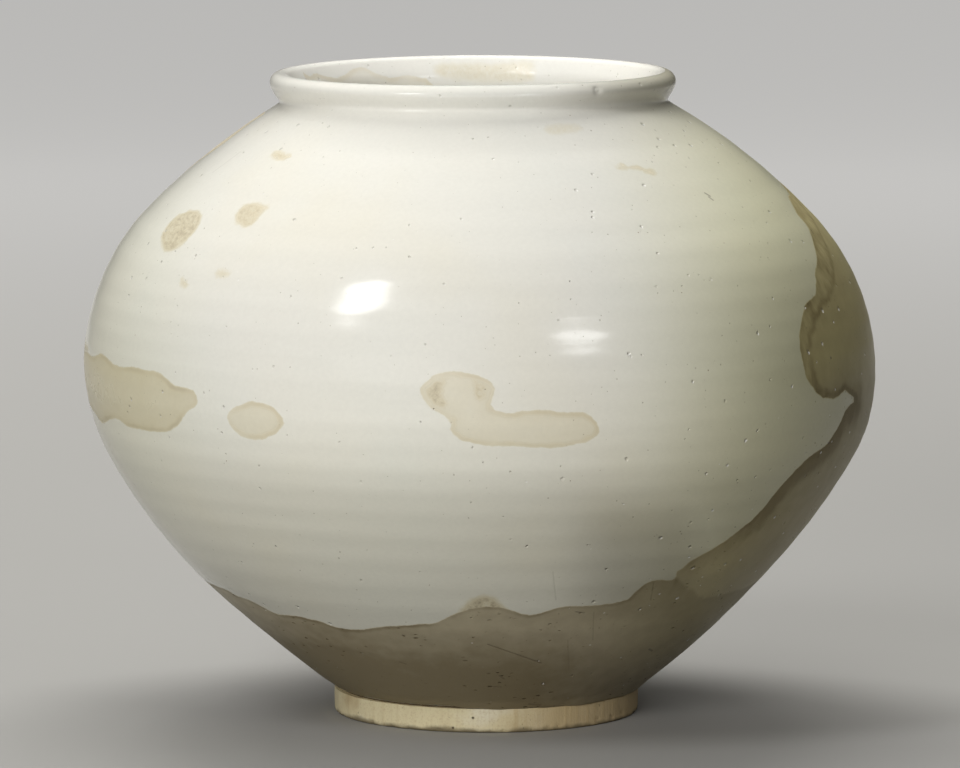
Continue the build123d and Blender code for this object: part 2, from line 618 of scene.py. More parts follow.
OUTER_STAINS = (
    Stain("left patch", 0.30, 0.24, (
        (87, 352), (93, 356), (103, 354), (108, 359), (115, 365), (125, 367), (135, 368), (146, 370),
        (156, 371), (164, 376), (174, 385), (184, 387), (193, 391), (197, 398), (196, 405), (189, 411),
        (184, 415), (179, 424), (173, 429), (164, 432), (154, 431), (143, 429), (130, 428), (123, 423),
        (116, 419), (110, 420), (103, 423), (97, 416), (93, 410),
    ), ((-88, 176), (-97, 181), (-104, 190), (-99, 200), (-90, 202))),
    Stain("oval", 0.19, 0.24, (
        (227, 415), (232, 409), (241, 404), (252, 401), (264, 403), (276, 409), (280, 415), (286, 421),
        (281, 428), (274, 434), (261, 440), (249, 439), (237, 434), (231, 427), (227, 421),
    )),
    Stain("pool", 0.15, 0.26, (
        (420, 391), (425, 382), (434, 375), (446, 372), (461, 372), (477, 375), (488, 380), (494, 385),
        (494, 391), (491, 400), (490, 407), (495, 411), (504, 413), (515, 414), (522, 412), (532, 411),
        (541, 410), (550, 411), (562, 413), (573, 413), (584, 413), (591, 417), (597, 423), (600, 430),
        (597, 436), (590, 440), (576, 444), (561, 447), (542, 448), (529, 448), (507, 446), (486, 445),
        (472, 443), (461, 440), (454, 435), (450, 430), (453, 422), (447, 417), (437, 411), (428, 405),
        (422, 398),
    )),
    Stain("right flood", 0.46, 0.09, (
        (788, 196), (796, 212), (805, 223), (811, 234), (814, 247), (817, 260), (815, 271), (816, 282),
        (815, 295), (806, 303), (803, 314), (800, 330), (800, 346), (803, 362), (806, 376), (811, 386),
        (818, 394), (823, 398), (834, 398), (842, 394), (845, 390), (851, 396), (855, 400), (848, 406),
        (843, 416), (837, 429), (831, 438), (826, 445), (815, 452), (806, 460), (794, 472), (783, 484),
        (775, 493), (766, 505), (754, 518), (740, 530), (727, 540), (711, 550), (698, 557), (688, 563),
        (681, 570), (676, 577),
    ), ((45, 60), (75, 50), (120, 52), (150, 70), (158, 120), (151, 160), (156, 205), (146, 250),
        (128, 282), (108, 296), (92, 296), (84, 290))),
    Stain("low flood", 0.64, 0.24, (
        (680, 577), (670, 581), (664, 580), (655, 580), (647, 583), (638, 589), (632, 596), (626, 600),
        (614, 603), (597, 605), (583, 606), (569, 606), (552, 610), (541, 613), (529, 615), (521, 613),
        (512, 610), (505, 608), (496, 607), (486, 607), (476, 608), (466, 610),
        (455, 614), (446, 618), (436, 623), (423, 624), (406, 625), (391, 626), (380, 627),
        (370, 629), (357, 630), (344, 629), (333, 627), (324, 623), (313, 620), (301, 617), (289, 615),
        (277, 614), (268, 610), (257, 604), (246, 599), (234, 595), (225, 589),
    ), ((-86, 78), (-96, 84), (-108, 80), (-121, 92), (-133, 98), (-147, 88), (-160, 92), (-173, 104),
        (172, 112), (160, 104), (148, 98), (120, 100), (90, 104), (60, 100)), shape=Shape.BAND),
    Stain("back shoulder", 0.30, 0.60, (
        (200, 160), (213, 151), (227, 141), (241, 130), (253, 121), (264, 114),
    ), ((-101, 334), (-113, 335), (-129, 320), (-137, 297), (-128, 270), (-116, 263), (-106, 273),
        (-96, 288))),
    Stain("back pool", 0.28, 0.16, (), (
        (-160, 206), (-152, 220), (-140, 216), (-135, 202), (-141, 188), (-155, 184), (-163, 192))),
    Stain("back drop", 0.22, 0.12, (), (
        (176, 176), (186, 187), (199, 184), (203, 172), (192, 163), (180, 165))),
    Stain("flood core", 0.42, 0.42, (
        (797, 200), (808, 214), (818, 231), (826, 248), (831, 266), (832, 282), (828, 294), (820, 302),
        (817, 310), (811, 316), (811, 325), (808, 334), (809, 343), (806, 351), (810, 359), (809, 366),
        (813, 375), (813, 382), (819, 391), (825, 396), (836, 397), (842, 393), (845, 389), (851, 395),
        (856, 400), (847, 406), (842, 416), (836, 429), (830, 438), (825, 446), (814, 453), (805, 461),
        (793, 473), (782, 485), (774, 494), (765, 506), (753, 519), (739, 531), (726, 541), (710, 551),
        (697, 558), (687, 564), (680, 571), (675, 578),
    ), ((44, 57), (75, 46), (120, 48), (152, 66), (161, 120), (154, 160), (159, 205), (148, 253),
        (130, 285), (109, 298), (96, 299), (88, 294)), layer=Layer.CORE),
    Stain("low bump", 0.62, 0.2, (
        (459, 613), (464, 605), (470, 599), (480, 596), (490, 596), (498, 600), (504, 606), (509, 611),
        (502, 619), (482, 621), (466, 619),
    ), layer=Layer.CLOUD),
    Stain("pool left", 0.52, 0.3, (
        (422, 391), (426, 383), (435, 377), (446, 374), (454, 377), (449, 384), (445, 391), (447, 399),
        (452, 406), (445, 411), (436, 408), (428, 403), (423, 397),
    ), layer=Layer.CLOUD),
    Stain("pool right", 0.42, 0.3, (
        (458, 375), (468, 374), (480, 378), (490, 384), (492, 391), (488, 401), (479, 404), (471, 399),
        (470, 389), (464, 381),
    ), layer=Layer.CLOUD),
    Stain("edge blot", 0.52, 0.2, (), (
        (-79, 206), (-83, 203), (-88, 198), (-94, 197), (-95, 205), (-88, 209), (-82, 209),
    ), layer=Layer.CLOUD),
    Stain("shoulder blot", 0.48, 0.0, (
        (161, 235), (165, 229), (170, 222), (178, 215), (185, 212), (192, 210), (199, 210), (203, 214),
        (201, 222), (196, 230), (190, 237), (182, 245), (173, 251), (167, 253), (162, 250), (161, 242),
    ), layer=Layer.CLOUD),
    Stain("shoulder smear", 0.42, 0.0, (
        (235, 219), (237, 212), (241, 208), (247, 204), (254, 202), (260, 203), (267, 205), (269, 208),
        (263, 213), (258, 220), (252, 226), (245, 228), (239, 226), (235, 223),
    ), layer=Layer.CLOUD),
    Stain("shoulder drop", 0.40, 0.0, (
        (271, 158), (272, 152), (279, 150), (286, 153), (292, 156), (288, 159), (280, 161),
    ), layer=Layer.CLOUD),
    Stain("shoulder dab", 0.24, 0.0, (
        (215, 274), (218, 269), (224, 268), (232, 271), (231, 275), (223, 279), (217, 279),
    ), layer=Layer.CLOUD),
    Stain("shoulder fleck", 0.34, 0.0, (
        (179, 282), (183, 276), (186, 280), (189, 285), (185, 288), (180, 286),
    ), layer=Layer.CLOUD),
    Stain("neck dab", 0.15, 0.0, (
        (544, 125), (566, 123), (578, 124), (583, 128), (580, 132), (566, 135), (553, 136), (546, 134),
    ), layer=Layer.CLOUD),
    Stain("tear", 0.42, 0.0, (
        (614, 167), (618, 163), (623, 163), (628, 166), (637, 165), (643, 168), (650, 169), (656, 170),
        (656, 175), (650, 175), (642, 171), (634, 169), (625, 170), (618, 171),
    ), layer=Layer.CLOUD),
    Stain("back smear", 0.36, 0.0, (), (
        (120, 300), (128, 312), (139, 314), (146, 306), (138, 296), (126, 292)), layer=Layer.CLOUD),
)

INNER_STAINS = (
    Stain("mouth stain", 0.04, 0.22, (
        (302, 73), (309, 76), (315, 73), (323, 75), (330, 77), (336, 78), (345, 74), (353, 69), (360, 67),
        (365, 67), (372, 71), (379, 74), (390, 76), (404, 75), (414, 76), (422, 78), (430, 82),
    ), ((186, 322), (200, 300), (225, 296), (246, 310), (247, 330))),
    Stain("mouth smear", 0.24, 0.25, (
        (433, 67), (447, 62), (470, 61), (495, 63), (520, 61), (534, 63), (534, 72), (531, 81), (500, 83),
        (470, 83), (450, 80), (438, 76),
    ), layer=Layer.CLOUD),
    Stain("floor ring", 0.34, 0.2, (), (
        (0, 32), (50, 36), (95, 31), (140, 35), (185, 30), (230, 34), (275, 31), (320, 36),
    ), shape=Shape.BAND),
    Stain("mouth dab", 0.25, 0.0, (), (
        (60, 335), (75, 338), (92, 332), (88, 318), (70, 316)), layer=Layer.CLOUD),
)

UNDER_STAINS = (
    Stain("foot hollow", 0.30, 0.1, (), (
        (0, 9), (60, 8), (120, 10), (180, 7), (240, 9), (300, 10)), shape=Shape.BAND),
)


@dataclass(frozen=True)
class StainMap:
    """Writes how far each point of a coat is from the edges of its stains, for the finish to read."""

    view: PhotoView
    lean: Lean
    far: float = 40.0 * MM
    rounding: int = 4
    flattest: float = 0.15

    def outline(self, stain: Stain, coat: SpunPiece) -> np.ndarray:
        """Rounded outline of a stain on a coat.

        Args:
            stain: The stain.
            coat: The piece that it lies on.

        Returns:
            Angle from the front in radians and height in metres of each point, unwound.
        """
        spots = []
        for pixel in stain.seen:
            place = self.view.seen(coat, pixel)
            spots.append((math.atan2(place.x - self.lean.axis_x(place.z), -place.y), place.z))
        spots += [(math.radians(angle), height * MM) for angle, height in stain.behind]
        line = np.array(spots)
        line[:, 0] = np.unwrap(line[:, 0])
        following = np.array([[math.tau if line[-1, 0] > line[0, 0] else -math.tau, 0.0]])
        following = following if stain.shape is Shape.BAND else 0 * following
        before, after = line[-1:] - following, line[:2] + following
        knots = np.vstack((before, line, after))
        shares = np.arange(self.rounding)[:, None] / self.rounding
        runs = []
        for p0, p1, p2, p3 in zip(knots, knots[1:], knots[2:], knots[3:]):
            bend = 2 * p0 - 5 * p1 + 4 * p2 - p3
            twist = 3 * (p1 - p2) + p3 - p0
            runs.append(p1 + 0.5 * shares * (p2 - p0 + shares * (bend + shares * twist)))
        return np.vstack(runs)

    def gaps(self, stain: Stain, coat: SpunPiece) -> np.ndarray:
        """Distance of each point of a coat from the edge of a stain.

        Args:
            stain: The stain.
            coat: The piece that it lies on.

        Returns:
            Metres along the surface, negative inside the stain, and at most far outside it.
        """
        line = self.outline(stain, coat)
        places = coat.points()
        middle = line[:, 0].mean()
        across = places[:, 0] - self.lean.axis_x(places[:, 2])
        turned = middle + (np.arctan2(across, -places[:, 1]) - middle + math.pi) % math.tau - math.pi
        radii = np.hypot(across, places[:, 1])
        low, high = line[:, 1].min() - self.far, line[:, 1].max() + self.far
        near = (places[:, 2] < high) & (places[:, 2] > low)
        if stain.shape is Shape.PATCH:
            reach = self.far / np.maximum(radii, self.far)
            near &= (turned > line[:, 0].min() - reach) & (turned < line[:, 0].max() + reach)
        gaps = np.full(len(places), self.far)
        if stain.shape is Shape.BAND:
            gaps[places[:, 2] <= low] = -self.far
        rise = self.rise(coat)[near]
        found = self.distances(line, stain.shape, turned[near], places[near, 2], radii[near], rise)
        gaps[near] = np.clip(found, -self.far, self.far)
        return gaps

    @staticmethod
    def distances(
        line: np.ndarray, shape: Shape, angles: np.ndarray, heights: np.ndarray, radii: np.ndarray,
        rise: np.ndarray,
    ) -> np.ndarray:
        """Signed distances from a line on a coat.

        Args:
            line: Angle and height of each point of the line.
            shape: How the line bounds the stain.
            angles: Angle of each point of the coat.
            heights: Its height.
            radii: Its radius.
            rise: Length of the coat there for each unit of height.

        Returns:
            Metres along the surface, negative inside.
        """
        ends = np.roll(line, -1, axis=0)
        turns = (0.0,)
        if shape is Shape.BAND:
            ends[-1, 0] += math.copysign(math.tau, line[-1, 0] - line[0, 0])
            turns = (-math.tau, 0.0, math.tau)
        best = np.full(len(angles), np.inf)
        inside = np.zeros(len(angles), bool)
        for turn in turns:
            for start, end in zip(line, ends):
                first, last = start[0] + turn, end[0] + turn
                across, up = (first - angles) * radii, (start[1] - heights) * rise
                run, climb = (last - first) * radii, (end[1] - start[1]) * rise
                share = np.clip(-(across * run + up * climb) / (run**2 + climb**2 + TINY), 0, 1)
                best = np.minimum(best, np.hypot(across + share * run, up + share * climb))
                crossed = (angles >= min(first, last)) & (angles < max(first, last))
                level = start[1] + (end[1] - start[1]) * (angles - first) / (last - first or 1.0)
                inside ^= crossed & (heights < level)
        return np.where(inside, -best, best)

    def rise(self, coat: SpunPiece) -> np.ndarray:
        """Length of a surface for each unit of height, limited where the surface is nearly level.

        Args:
            coat: The piece.

        Returns:
            One number for each point of the piece.
        """
        normals = np.empty(len(coat.mesh.data.vertices) * 3)
        coat.mesh.data.vertices.foreach_get("normal", normals)
        return 1 / np.sqrt(np.clip(1 - normals.reshape(-1, 3)[:, 2] ** 2, self.flattest, 1))

    def paint(self, coat: SpunPiece, stains: Sequence[Stain]) -> None:
        """Stores the gap, tone and edge of the nearest stain of each layer on a coat.

        Args:
            coat: The piece that carries the stains.
            stains: Its stains, of all layers.
        """
        for layer in Layer:
            count = len(coat.mesh.data.vertices)
            gap, tone, edge = np.full(count, self.far), np.zeros(count), np.zeros(count)
            for stain in stains:
                if stain.layer is layer:
                    found = self.gaps(stain, coat)
                    tone = np.where(found < gap, stain.tone, tone)
                    edge = np.where(found < gap, stain.edge, edge)
                    gap = np.minimum(gap, found)
                    LOG.info("%s: stain %s", coat.mesh.name, stain.name)
            for kind, values in (("gap", gap / MM), ("tone", tone), ("edge", edge)):
                attribute = coat.mesh.data.attributes.new(f"{layer.value}_{kind}", "FLOAT", "POINT")
                attribute.data.foreach_set("value", values.astype(np.float32))


# Finishes

class Value:
    """A number that changes over a surface. Arithmetic on it adds Math nodes."""

    def __init__(self, graph: "Graph", socket: bpy.types.NodeSocket) -> None:
        """Wraps a socket of a graph."""
        self.graph = graph
        self.socket = socket

    def maths(self, operation: str, first: Any, second: Any = 0.0) -> "Value":
        """Result of a Math node on two numbers."""
        node = self.graph.node("ShaderNodeMath", {"operation": operation}, {0: first, 1: second})
        return Value(self.graph, node.outputs[0])

    def __add__(self, other: Any) -> "Value":
        """Sum."""
        return self.maths("ADD", self, other)

    def __radd__(self, other: Any) -> "Value":
        """Sum, with the number first."""
        return self.maths("ADD", other, self)

    def __sub__(self, other: Any) -> "Value":
        """Difference."""
        return self.maths("SUBTRACT", self, other)

    def __rsub__(self, other: Any) -> "Value":
        """Difference from a number."""
        return self.maths("SUBTRACT", other, self)

    def __mul__(self, other: Any) -> "Value":
        """Product."""
        return self.maths("MULTIPLY", self, other)

    def __rmul__(self, other: Any) -> "Value":
        """Product, with the number first."""
        return self.maths("MULTIPLY", other, self)

    def __truediv__(self, other: Any) -> "Value":
        """Quotient."""
        return self.maths("DIVIDE", self, other)

    def __abs__(self) -> "Value":
        """Size without sign."""
        return self.maths("ABSOLUTE", self)

    def at_most(self, other: Any) -> "Value":
        """The smaller of two numbers."""
        return self.maths("MINIMUM", self, other)

    def at_least(self, other: Any) -> "Value":
        """The larger of two numbers."""
        return self.maths("MAXIMUM", self, other)

    def step(self, start: float, end: float) -> "Value":
        """Smooth step.

        Args:
            start: Number at which the step is 0.
            end: Number at which it is 1, larger or smaller than the start.

        Returns:
            The step.
        """
        low, high = min(start, end), max(start, end)
        node = self.graph.node(
            "ShaderNodeMapRange", {"interpolation_type": "SMOOTHSTEP"},
            {"Value": self, "From Min": low, "From Max": high},
        )
        rising = Value(self.graph, node.outputs[0])
        return rising if start < end else 1 - rising


class Graph:
    """Nodes of one material."""

    SMALLEST_DOT = 0.05
    FULL_SHARE = 0.3

    def __init__(self, name: str) -> None:
        """Makes an empty material with one Principled shader.

        Args:
            name: What the material is called.
        """
        self.material = bpy.data.materials.new(name)
        self.material.use_nodes = True
        self.tree = self.material.node_tree
        self.tree.nodes.clear()
        output = self.tree.nodes.new("ShaderNodeOutputMaterial")
        self.shader = self.tree.nodes.new("ShaderNodeBsdfPrincipled")
        self.tree.links.new(self.shader.outputs[0], output.inputs["Surface"])
        self.place = self.node("ShaderNodeTexCoord", {}, {}).outputs["Object"]

    def feed(self, target: bpy.types.NodeSocket, source: Any) -> None:
        """Fills an input.

        Args:
            target: The input.
            source: Socket or value to link to it, or number or colour to set it to.
        """
        source = source.socket if isinstance(source, Value) else source
        if isinstance(source, bpy.types.NodeSocket):
            self.tree.links.new(source, target)
        elif target.type == "RGBA" and len(source) == 3:
            target.default_value = (*source, 1.0)
        else:
            target.default_value = source

    def node(self, kind: str, settings: dict[str, Any], sockets: dict[Any, Any]) -> bpy.types.Node:
        """Adds any node.

        Args:
            kind: The node's type.
            settings: Its settings, with a ramp's stops under "stops".
            sockets: Values or links of its inputs, by name or place.

        Returns:
            The node.
        """
        node = self.tree.nodes.new(kind)
        for name, value in settings.items():
            if name == "stops":
                for index, (position, colour) in enumerate(value):
                    elements = node.color_ramp.elements
                    element = elements[index] if index < 2 else elements.new(position)
                    element.position = position
                    element.color = (*colour, 1.0)
            else:
                setattr(node, name, value)
        for name, source in sockets.items():
            self.feed(node.inputs[name], source)
        return node

    def vector(self, operation: str, *inputs: Any, result: str = "Vector") -> bpy.types.NodeSocket:
        """Result of a Vector Math node on inputs in the order of its sockets."""
        node = self.node("ShaderNodeVectorMath", {"operation": operation}, dict(enumerate(inputs)))
        return node.outputs[result]

    def distance(self, first: Any, second: Any) -> Value:
        """Distance between two places, in metres."""
        return Value(self, self.vector("DISTANCE", first, second, result="Value"))

    def attribute(self, name: str) -> Value:
        """Number stored on the mesh."""
        node = self.node("ShaderNodeAttribute", {"attribute_name": name}, {})
        return Value(self, node.outputs["Fac"])

    def along(self, axis: str) -> Value:
        """Object coordinate along one axis, in millimetres."""
        return Value(self, self.node("ShaderNodeSeparateXYZ", {}, {0: self.place}).outputs[axis]) / MM

    def stretched(self, scale: Triple, vector: Any = None) -> bpy.types.NodeSocket:
        """Coordinates, the object's own if none are given, scaled differently along each axis."""
        return self.vector("MULTIPLY", self.place if vector is None else vector, scale)

    def ragged(self, scale: float, reach: float) -> bpy.types.NodeSocket:
        """Object coordinates, shaken by noise so that round shapes on them turn ragged."""
        noise = self.node("ShaderNodeTexNoise", {}, {"Vector": self.place, "Scale": scale, "Detail": 1.0})
        return self.vector("MULTIPLY_ADD", noise.outputs["Color"], (reach, reach, reach), self.place)

    def noise(self, scale: float, detail: float = 2.0, vector: Any = None, roughness: float = 0.5) -> Value:
        """Cloudy noise.

        Args:
            scale: Clouds per unit of length.
            detail: How often finer clouds are added.
            vector: Coordinates, or None for the object's own.
            roughness: How strong the finer clouds are.

        Returns:
            Noise about zero, within about a third each way.
        """
        node = self.node("ShaderNodeTexNoise", {}, {
            "Vector": self.place if vector is None else vector,
            "Scale": scale, "Detail": detail, "Roughness": roughness,
        })
        return Value(self, node.outputs["Fac"]) - 0.5

    def dots(self, scale: float, radius: Any, vector: Any = None) -> Value:
        """Round dots at random places: 1 in the middle of each dot, 0 outside.

        Args:
            scale: Cells per unit of length.
            radius: Radius of the largest dots, as a share of a cell.
            vector: Coordinates, or None for the object's own.

        Returns:
            How far inside a dot each place is.
        """
        node = self.node("ShaderNodeTexVoronoi", {"feature": "F1"}, {
            "Vector": self.place if vector is None else vector, "Scale": scale,
        })
        chance = self.node("ShaderNodeSeparateColor", {}, {0: node.outputs["Color"]})
        size = radius * (Value(self, chance.outputs[0]) + self.SMALLEST_DOT)
        inside = 1 - Value(self, node.outputs["Distance"]) / size
        return inside.at_least(0.0)

    def near_point(self, place: Vector, radius: float) -> Value:
        """1 at a place, falling smoothly to 0 at a radius from it."""
        return self.distance(self.place, tuple(place)).step(radius, self.FULL_SHARE * radius)

    def near_line(self, start: Vector, end: Vector, radius: float) -> Value:
        """Nearness to a straight line.

        Args:
            start: First end of the line.
            end: Its other end.
            radius: Reach of the line to its sides.

        Returns:
            1 along the line, falling smoothly to 0 at the radius from it.
        """
        way = end - start
        offset = self.vector("SUBTRACT", self.place, tuple(start))
        along = self.vector("DOT_PRODUCT", offset, tuple(way / way.length_squared), result="Value")
        share = Value(self, along).at_least(0.0).at_most(1.0)
        reached = self.node("ShaderNodeVectorMath", {"operation": "SCALE"}, {0: tuple(way), "Scale": share})
        return self.distance(offset, reached.outputs["Vector"]).step(radius, self.FULL_SHARE * radius)

    def ramp(self, value: Value, stops: Sequence[tuple[float, Colour]]) -> bpy.types.NodeSocket:
        """Colour that follows a number through stops."""
        return self.node("ShaderNodeValToRGB", {"stops": stops}, {"Fac": value}).outputs["Color"]

    def mix(self, share: Any, first: Any, second: Any, blend: str = "MIX") -> bpy.types.NodeSocket:
        """Colour between two colours, or one blended onto the other."""
        settings = {"data_type": "RGBA", "blend_type": blend, "clamp_factor": True}
        return self.node("ShaderNodeMix", settings, {0: share, 6: first, 7: second}).outputs[2]

    def finished(self, colour: Any, roughness: Value, relief: Value) -> bpy.types.Material:
        """Feeds the shader.

        Args:
            colour: Base colour.
            roughness: Roughness.
            relief: Height of the surface in millimetres, which shows in the shading only.

        Returns:
            The material.
        """
        bump = self.node("ShaderNodeBump", {}, {"Strength": 1.0, "Distance": MM, "Height": relief})
        sources = {"Base Color": colour, "Roughness": roughness, "Normal": bump.outputs["Normal"]}
        for name, source in sources.items():
            self.feed(self.shader.inputs[name], source)
        return self.material


@dataclass(frozen=True)
class Mark:
    """A dark mark in the glaze, a speck or a scratch, between pixels of the photograph."""

    start: Pixel
    end: Pixel
    radius: float
    depth: float
    stride: float = 13.0

    def spots(self, view: PhotoView, piece: SpunPiece) -> list[Vector]:
        """Places along the mark.

        Args:
            view: Camera of the photograph.
            piece: The piece that carries the mark.

        Returns:
            Places on the piece, close enough together to follow its curve.
        """
        length = math.dist(self.start, self.end)
        shares = np.linspace(0, 1, math.ceil(length / self.stride) + 1) if length else (0.0,)
        across, down = self.end[0] - self.start[0], self.end[1] - self.start[1]
        return [view.seen(piece, (self.start[0] + s * across, self.start[1] + s * down)) for s in shares]


MARKS = (
    Mark((488, 644.5), (541, 663), 0.75 * MM, 0.55),
    Mark((594, 612), (593, 640), 0.6 * MM, 0.20),
    Mark((654, 582), (651, 600), 0.6 * MM, 0.25),
    Mark((213, 172), (240, 152), 0.9 * MM, 0.10),
    Mark((811, 230), (813, 233), 0.8 * MM, 0.8),
    Mark((831, 358), (831, 358), 1.1 * MM, 0.9),
    Mark((705, 193), (710, 196), 0.8 * MM, 0.50),
    Mark((709, 197), (713, 200), 0.8 * MM, 0.45),
    Mark((580, 613), (580, 613), 1.2 * MM, 0.6),
    Mark((530, 704), (540, 705), 1.4 * MM, 0.45),
    Mark((828, 443), (830, 443), 0.8 * MM, 0.7),
    Mark((568, 640), (569, 670), 0.6 * MM, 0.14),
    Mark((553, 572), (556, 600), 0.6 * MM, 0.14),
    Mark((494, 687), (501, 687), 0.9 * MM, 0.50),
    Mark((576, 612), (584, 613), 0.8 * MM, 0.40),
    Mark((500, 676), (504, 679), 0.9 * MM, 0.45),
    Mark((400, 662), (406, 664), 0.9 * MM, 0.40),
    Mark((649, 649), (652, 651), 0.9 * MM, 0.55),
)


class Pores(NamedTuple):
    """Where the small faults of a glaze are, and the painted glints beside its pocks, each from 0 to 1."""

    pinholes: Value
    pits: Value
    pocks: Value
    painted_glints: Value
    irons: Value


@dataclass(frozen=True)
class GlazeFinish:
    """Thick white glaze with a breath of green, small faults and tan stains, with painted shade and painted
    glints in its colour.

    A span is the start and the end of a smooth step. Those named after a side of the jar are in millimetres,
    towards +X for right and left and from the ground up for above and below.
    """

    name: str
    white: Colour = (0.820, 0.806, 0.748)
    warm: Colour = (0.812, 0.784, 0.695)
    cool: Colour = (0.798, 0.799, 0.752)
    # Painted tints follow: yellowing of the shaded sides, grey darkening, yellowing of stains on the shaded
    # sides, a painted highlight, and yellowing of the lower body.
    fired: Colour = (0.985, 0.975, 0.75)
    shade_grey: Colour = (0.74, 0.73, 0.70)
    rust_and_shade: Colour = (0.94, 0.92, 0.80)
    painted_glint: Colour = (0.95, 0.94, 0.90)
    low_shade_yellow: Colour = (1.0, 0.995, 0.93)
    pinhole: Colour = (0.32, 0.28, 0.21)
    iron: Colour = (0.24, 0.15, 0.07)
    scratch: Colour = (0.13, 0.10, 0.06)
    roughness: float = 0.14
    least_roughness: float = 0.05
    # How strongly the painted shade tints show; the spans that follow, up to the lip's, place them.
    painted_shade_share: float = 1.0
    shaded_right: Span = (50.0, 170.0)
    shaded_left: Span = (-130.0, -205.0)
    shaded_left_share: float = 0.3
    low_shade_below: Span = (235.0, 120.0)
    side_shade_right: Span = (75.0, 180.0)
    side_shade_above: Span = (90.0, 175.0)
    side_shade_below: Span = (302.0, 235.0)
    low_front_shade_right: Span = (30.0, 78.0)
    low_front_shade_left: Span = (132.0, 100.0)
    low_front_shade_above: Span = (60.0, 88.0)
    low_front_shade_below: Span = (155.0, 120.0)
    lip_shade_right: Span = (30.0, 85.0)
    lip_shade_above: Span = (338.0, 350.0)
    crowded_right: Span = (20.0, 110.0)
    pitted_below: Span = (150.0, 70.0)
    dark_seam_above: Span = (178.0, 206.0)
    broad_seam_below: Span = (200.0, 172.0)
    seam_above: Span = (80.0, 108.0)
    thin_margin_above: Span = (150.0, 185.0)
    # Spans where the stains grow deeper towards the bottom.
    deeper_below: Span = (80.0, 32.0)
    deeper_left: Span = (120.0, 0.0)
    flooded_below: Span = (215.0, 165.0)
    flooded_right: Span = (115.0, 165.0)
    pinhole_cells: float = 230.0
    pinhole_radius: float = 0.10
    iron_cells: float = 82.0
    iron_radius: float = 0.040
    pit_cells: float = 150.0
    pit_radius: float = 0.25
    pock_cells: float = 112.0
    pock_radius: float = 0.13
    ragged_cells: float = 520.0
    ragged_reach: float = 1.4 * MM
    painted_glint_shift: Triple = (-0.45 * MM, 0.2 * MM, 0.5 * MM)
    scratch_depth: float = 0.2
    stain_stops: tuple[tuple[float, Colour], ...] = (
        (0.0, (1.0, 1.0, 1.0)), (1.0, (0.34, 0.285, 0.20)), (0.2, (0.94, 0.905, 0.82)),
        (0.45, (0.83, 0.765, 0.63)), (0.75, (0.585, 0.52, 0.415)),
    )

    def material(self, marks: Sequence[tuple[list[Vector], Mark]] = ()) -> bpy.types.Material:
        """Makes the glaze.

        Args:
            marks: Places along each dark mark, and its kind.

        Returns:
            The material, which reads the stain layers of its mesh.
        """
        graph = Graph(self.name)
        tide, stain_depth = self.stains(graph)
        pores = self.pores(graph, tide)
        colour = self.tint(graph, tide)
        colour = graph.mix(1.0, colour, graph.ramp(stain_depth, self.stain_stops), "MULTIPLY")
        hollows = (0.55 * pores.pinholes).at_least(0.85 * pores.pits).at_least(0.28 * pores.pocks)
        colour = graph.mix(hollows, colour, graph.mix(1.0, colour, self.pinhole, "MULTIPLY"))
        colour = graph.mix(0.7 * pores.irons, colour, self.iron)
        # Painted highlight: pale spots beside the pocks stand in for glints of the lamps in them.
        colour = graph.mix(0.75 * pores.painted_glints, colour, self.painted_glint)
        relief = 0.30 * graph.noise(22.0) + 0.016 * graph.noise(330.0)
        relief = relief + 0.10 * graph.noise(1.0, vector=graph.stretched((5.0, 5.0, 110.0)))
        relief = relief - 0.15 * pores.pinholes - 0.30 * pores.pits - 0.45 * pores.pocks + 0.10 * pores.irons
        for spots, mark in marks:
            line = graph.near_point(spots[0], mark.radius)
            for start, end in zip(spots, spots[1:]):
                line = line.at_least(graph.near_line(start, end, mark.radius))
            colour = graph.mix(line * mark.depth, colour, self.scratch)
            relief = relief - self.scratch_depth * line * mark.depth
        gloss = self.roughness + 0.06 * graph.noise(45.0, 3.0) + 0.42 * stain_depth + 0.3 * pores.pits
        return graph.finished(colour, gloss.at_least(self.least_roughness), relief)

    def pores(self, graph: Graph, tide: Value) -> Pores:
        """Small faults of the glaze, more crowded towards +X, and painted glints beside the pocks.

        Args:
            graph: Nodes of the glaze.
            tide: Where the stains with tide lines are, which alone are pitted.

        Returns:
            The faults, and the painted glints, by kind.
        """
        crowd = graph.noise(9.0, 1.0) + 0.35 * graph.along("X").step(*self.crowded_right)
        ragged = graph.ragged(self.ragged_cells, self.ragged_reach)
        pinholes = graph.dots(self.pinhole_cells, self.pinhole_radius + 0.12 * crowd, ragged)
        dashes = graph.stretched((1.0, 1.0, 2.5), ragged)
        pits = graph.dots(self.pit_cells, self.pit_radius, dashes).step(0.0, 0.5)
        pitted = graph.noise(30.0, 1.0).step(-0.08, 0.12) * graph.along("Z").step(*self.pitted_below)
        radius = self.pock_radius + 0.16 * crowd
        # Painted highlight: the glints are the pocks shifted aside, painted pale.
        aside = graph.vector("ADD", ragged, self.painted_glint_shift)
        return Pores(
            pinholes=pinholes.step(0.0, 0.6),
            pits=pits * tide * pitted,
            pocks=graph.dots(self.pock_cells, radius, ragged).step(0.0, 0.8),
            painted_glints=graph.dots(self.pock_cells, radius, aside).step(0.25, 0.7),
            irons=graph.dots(self.iron_cells, self.iron_radius).step(0.0, 0.5),
        )

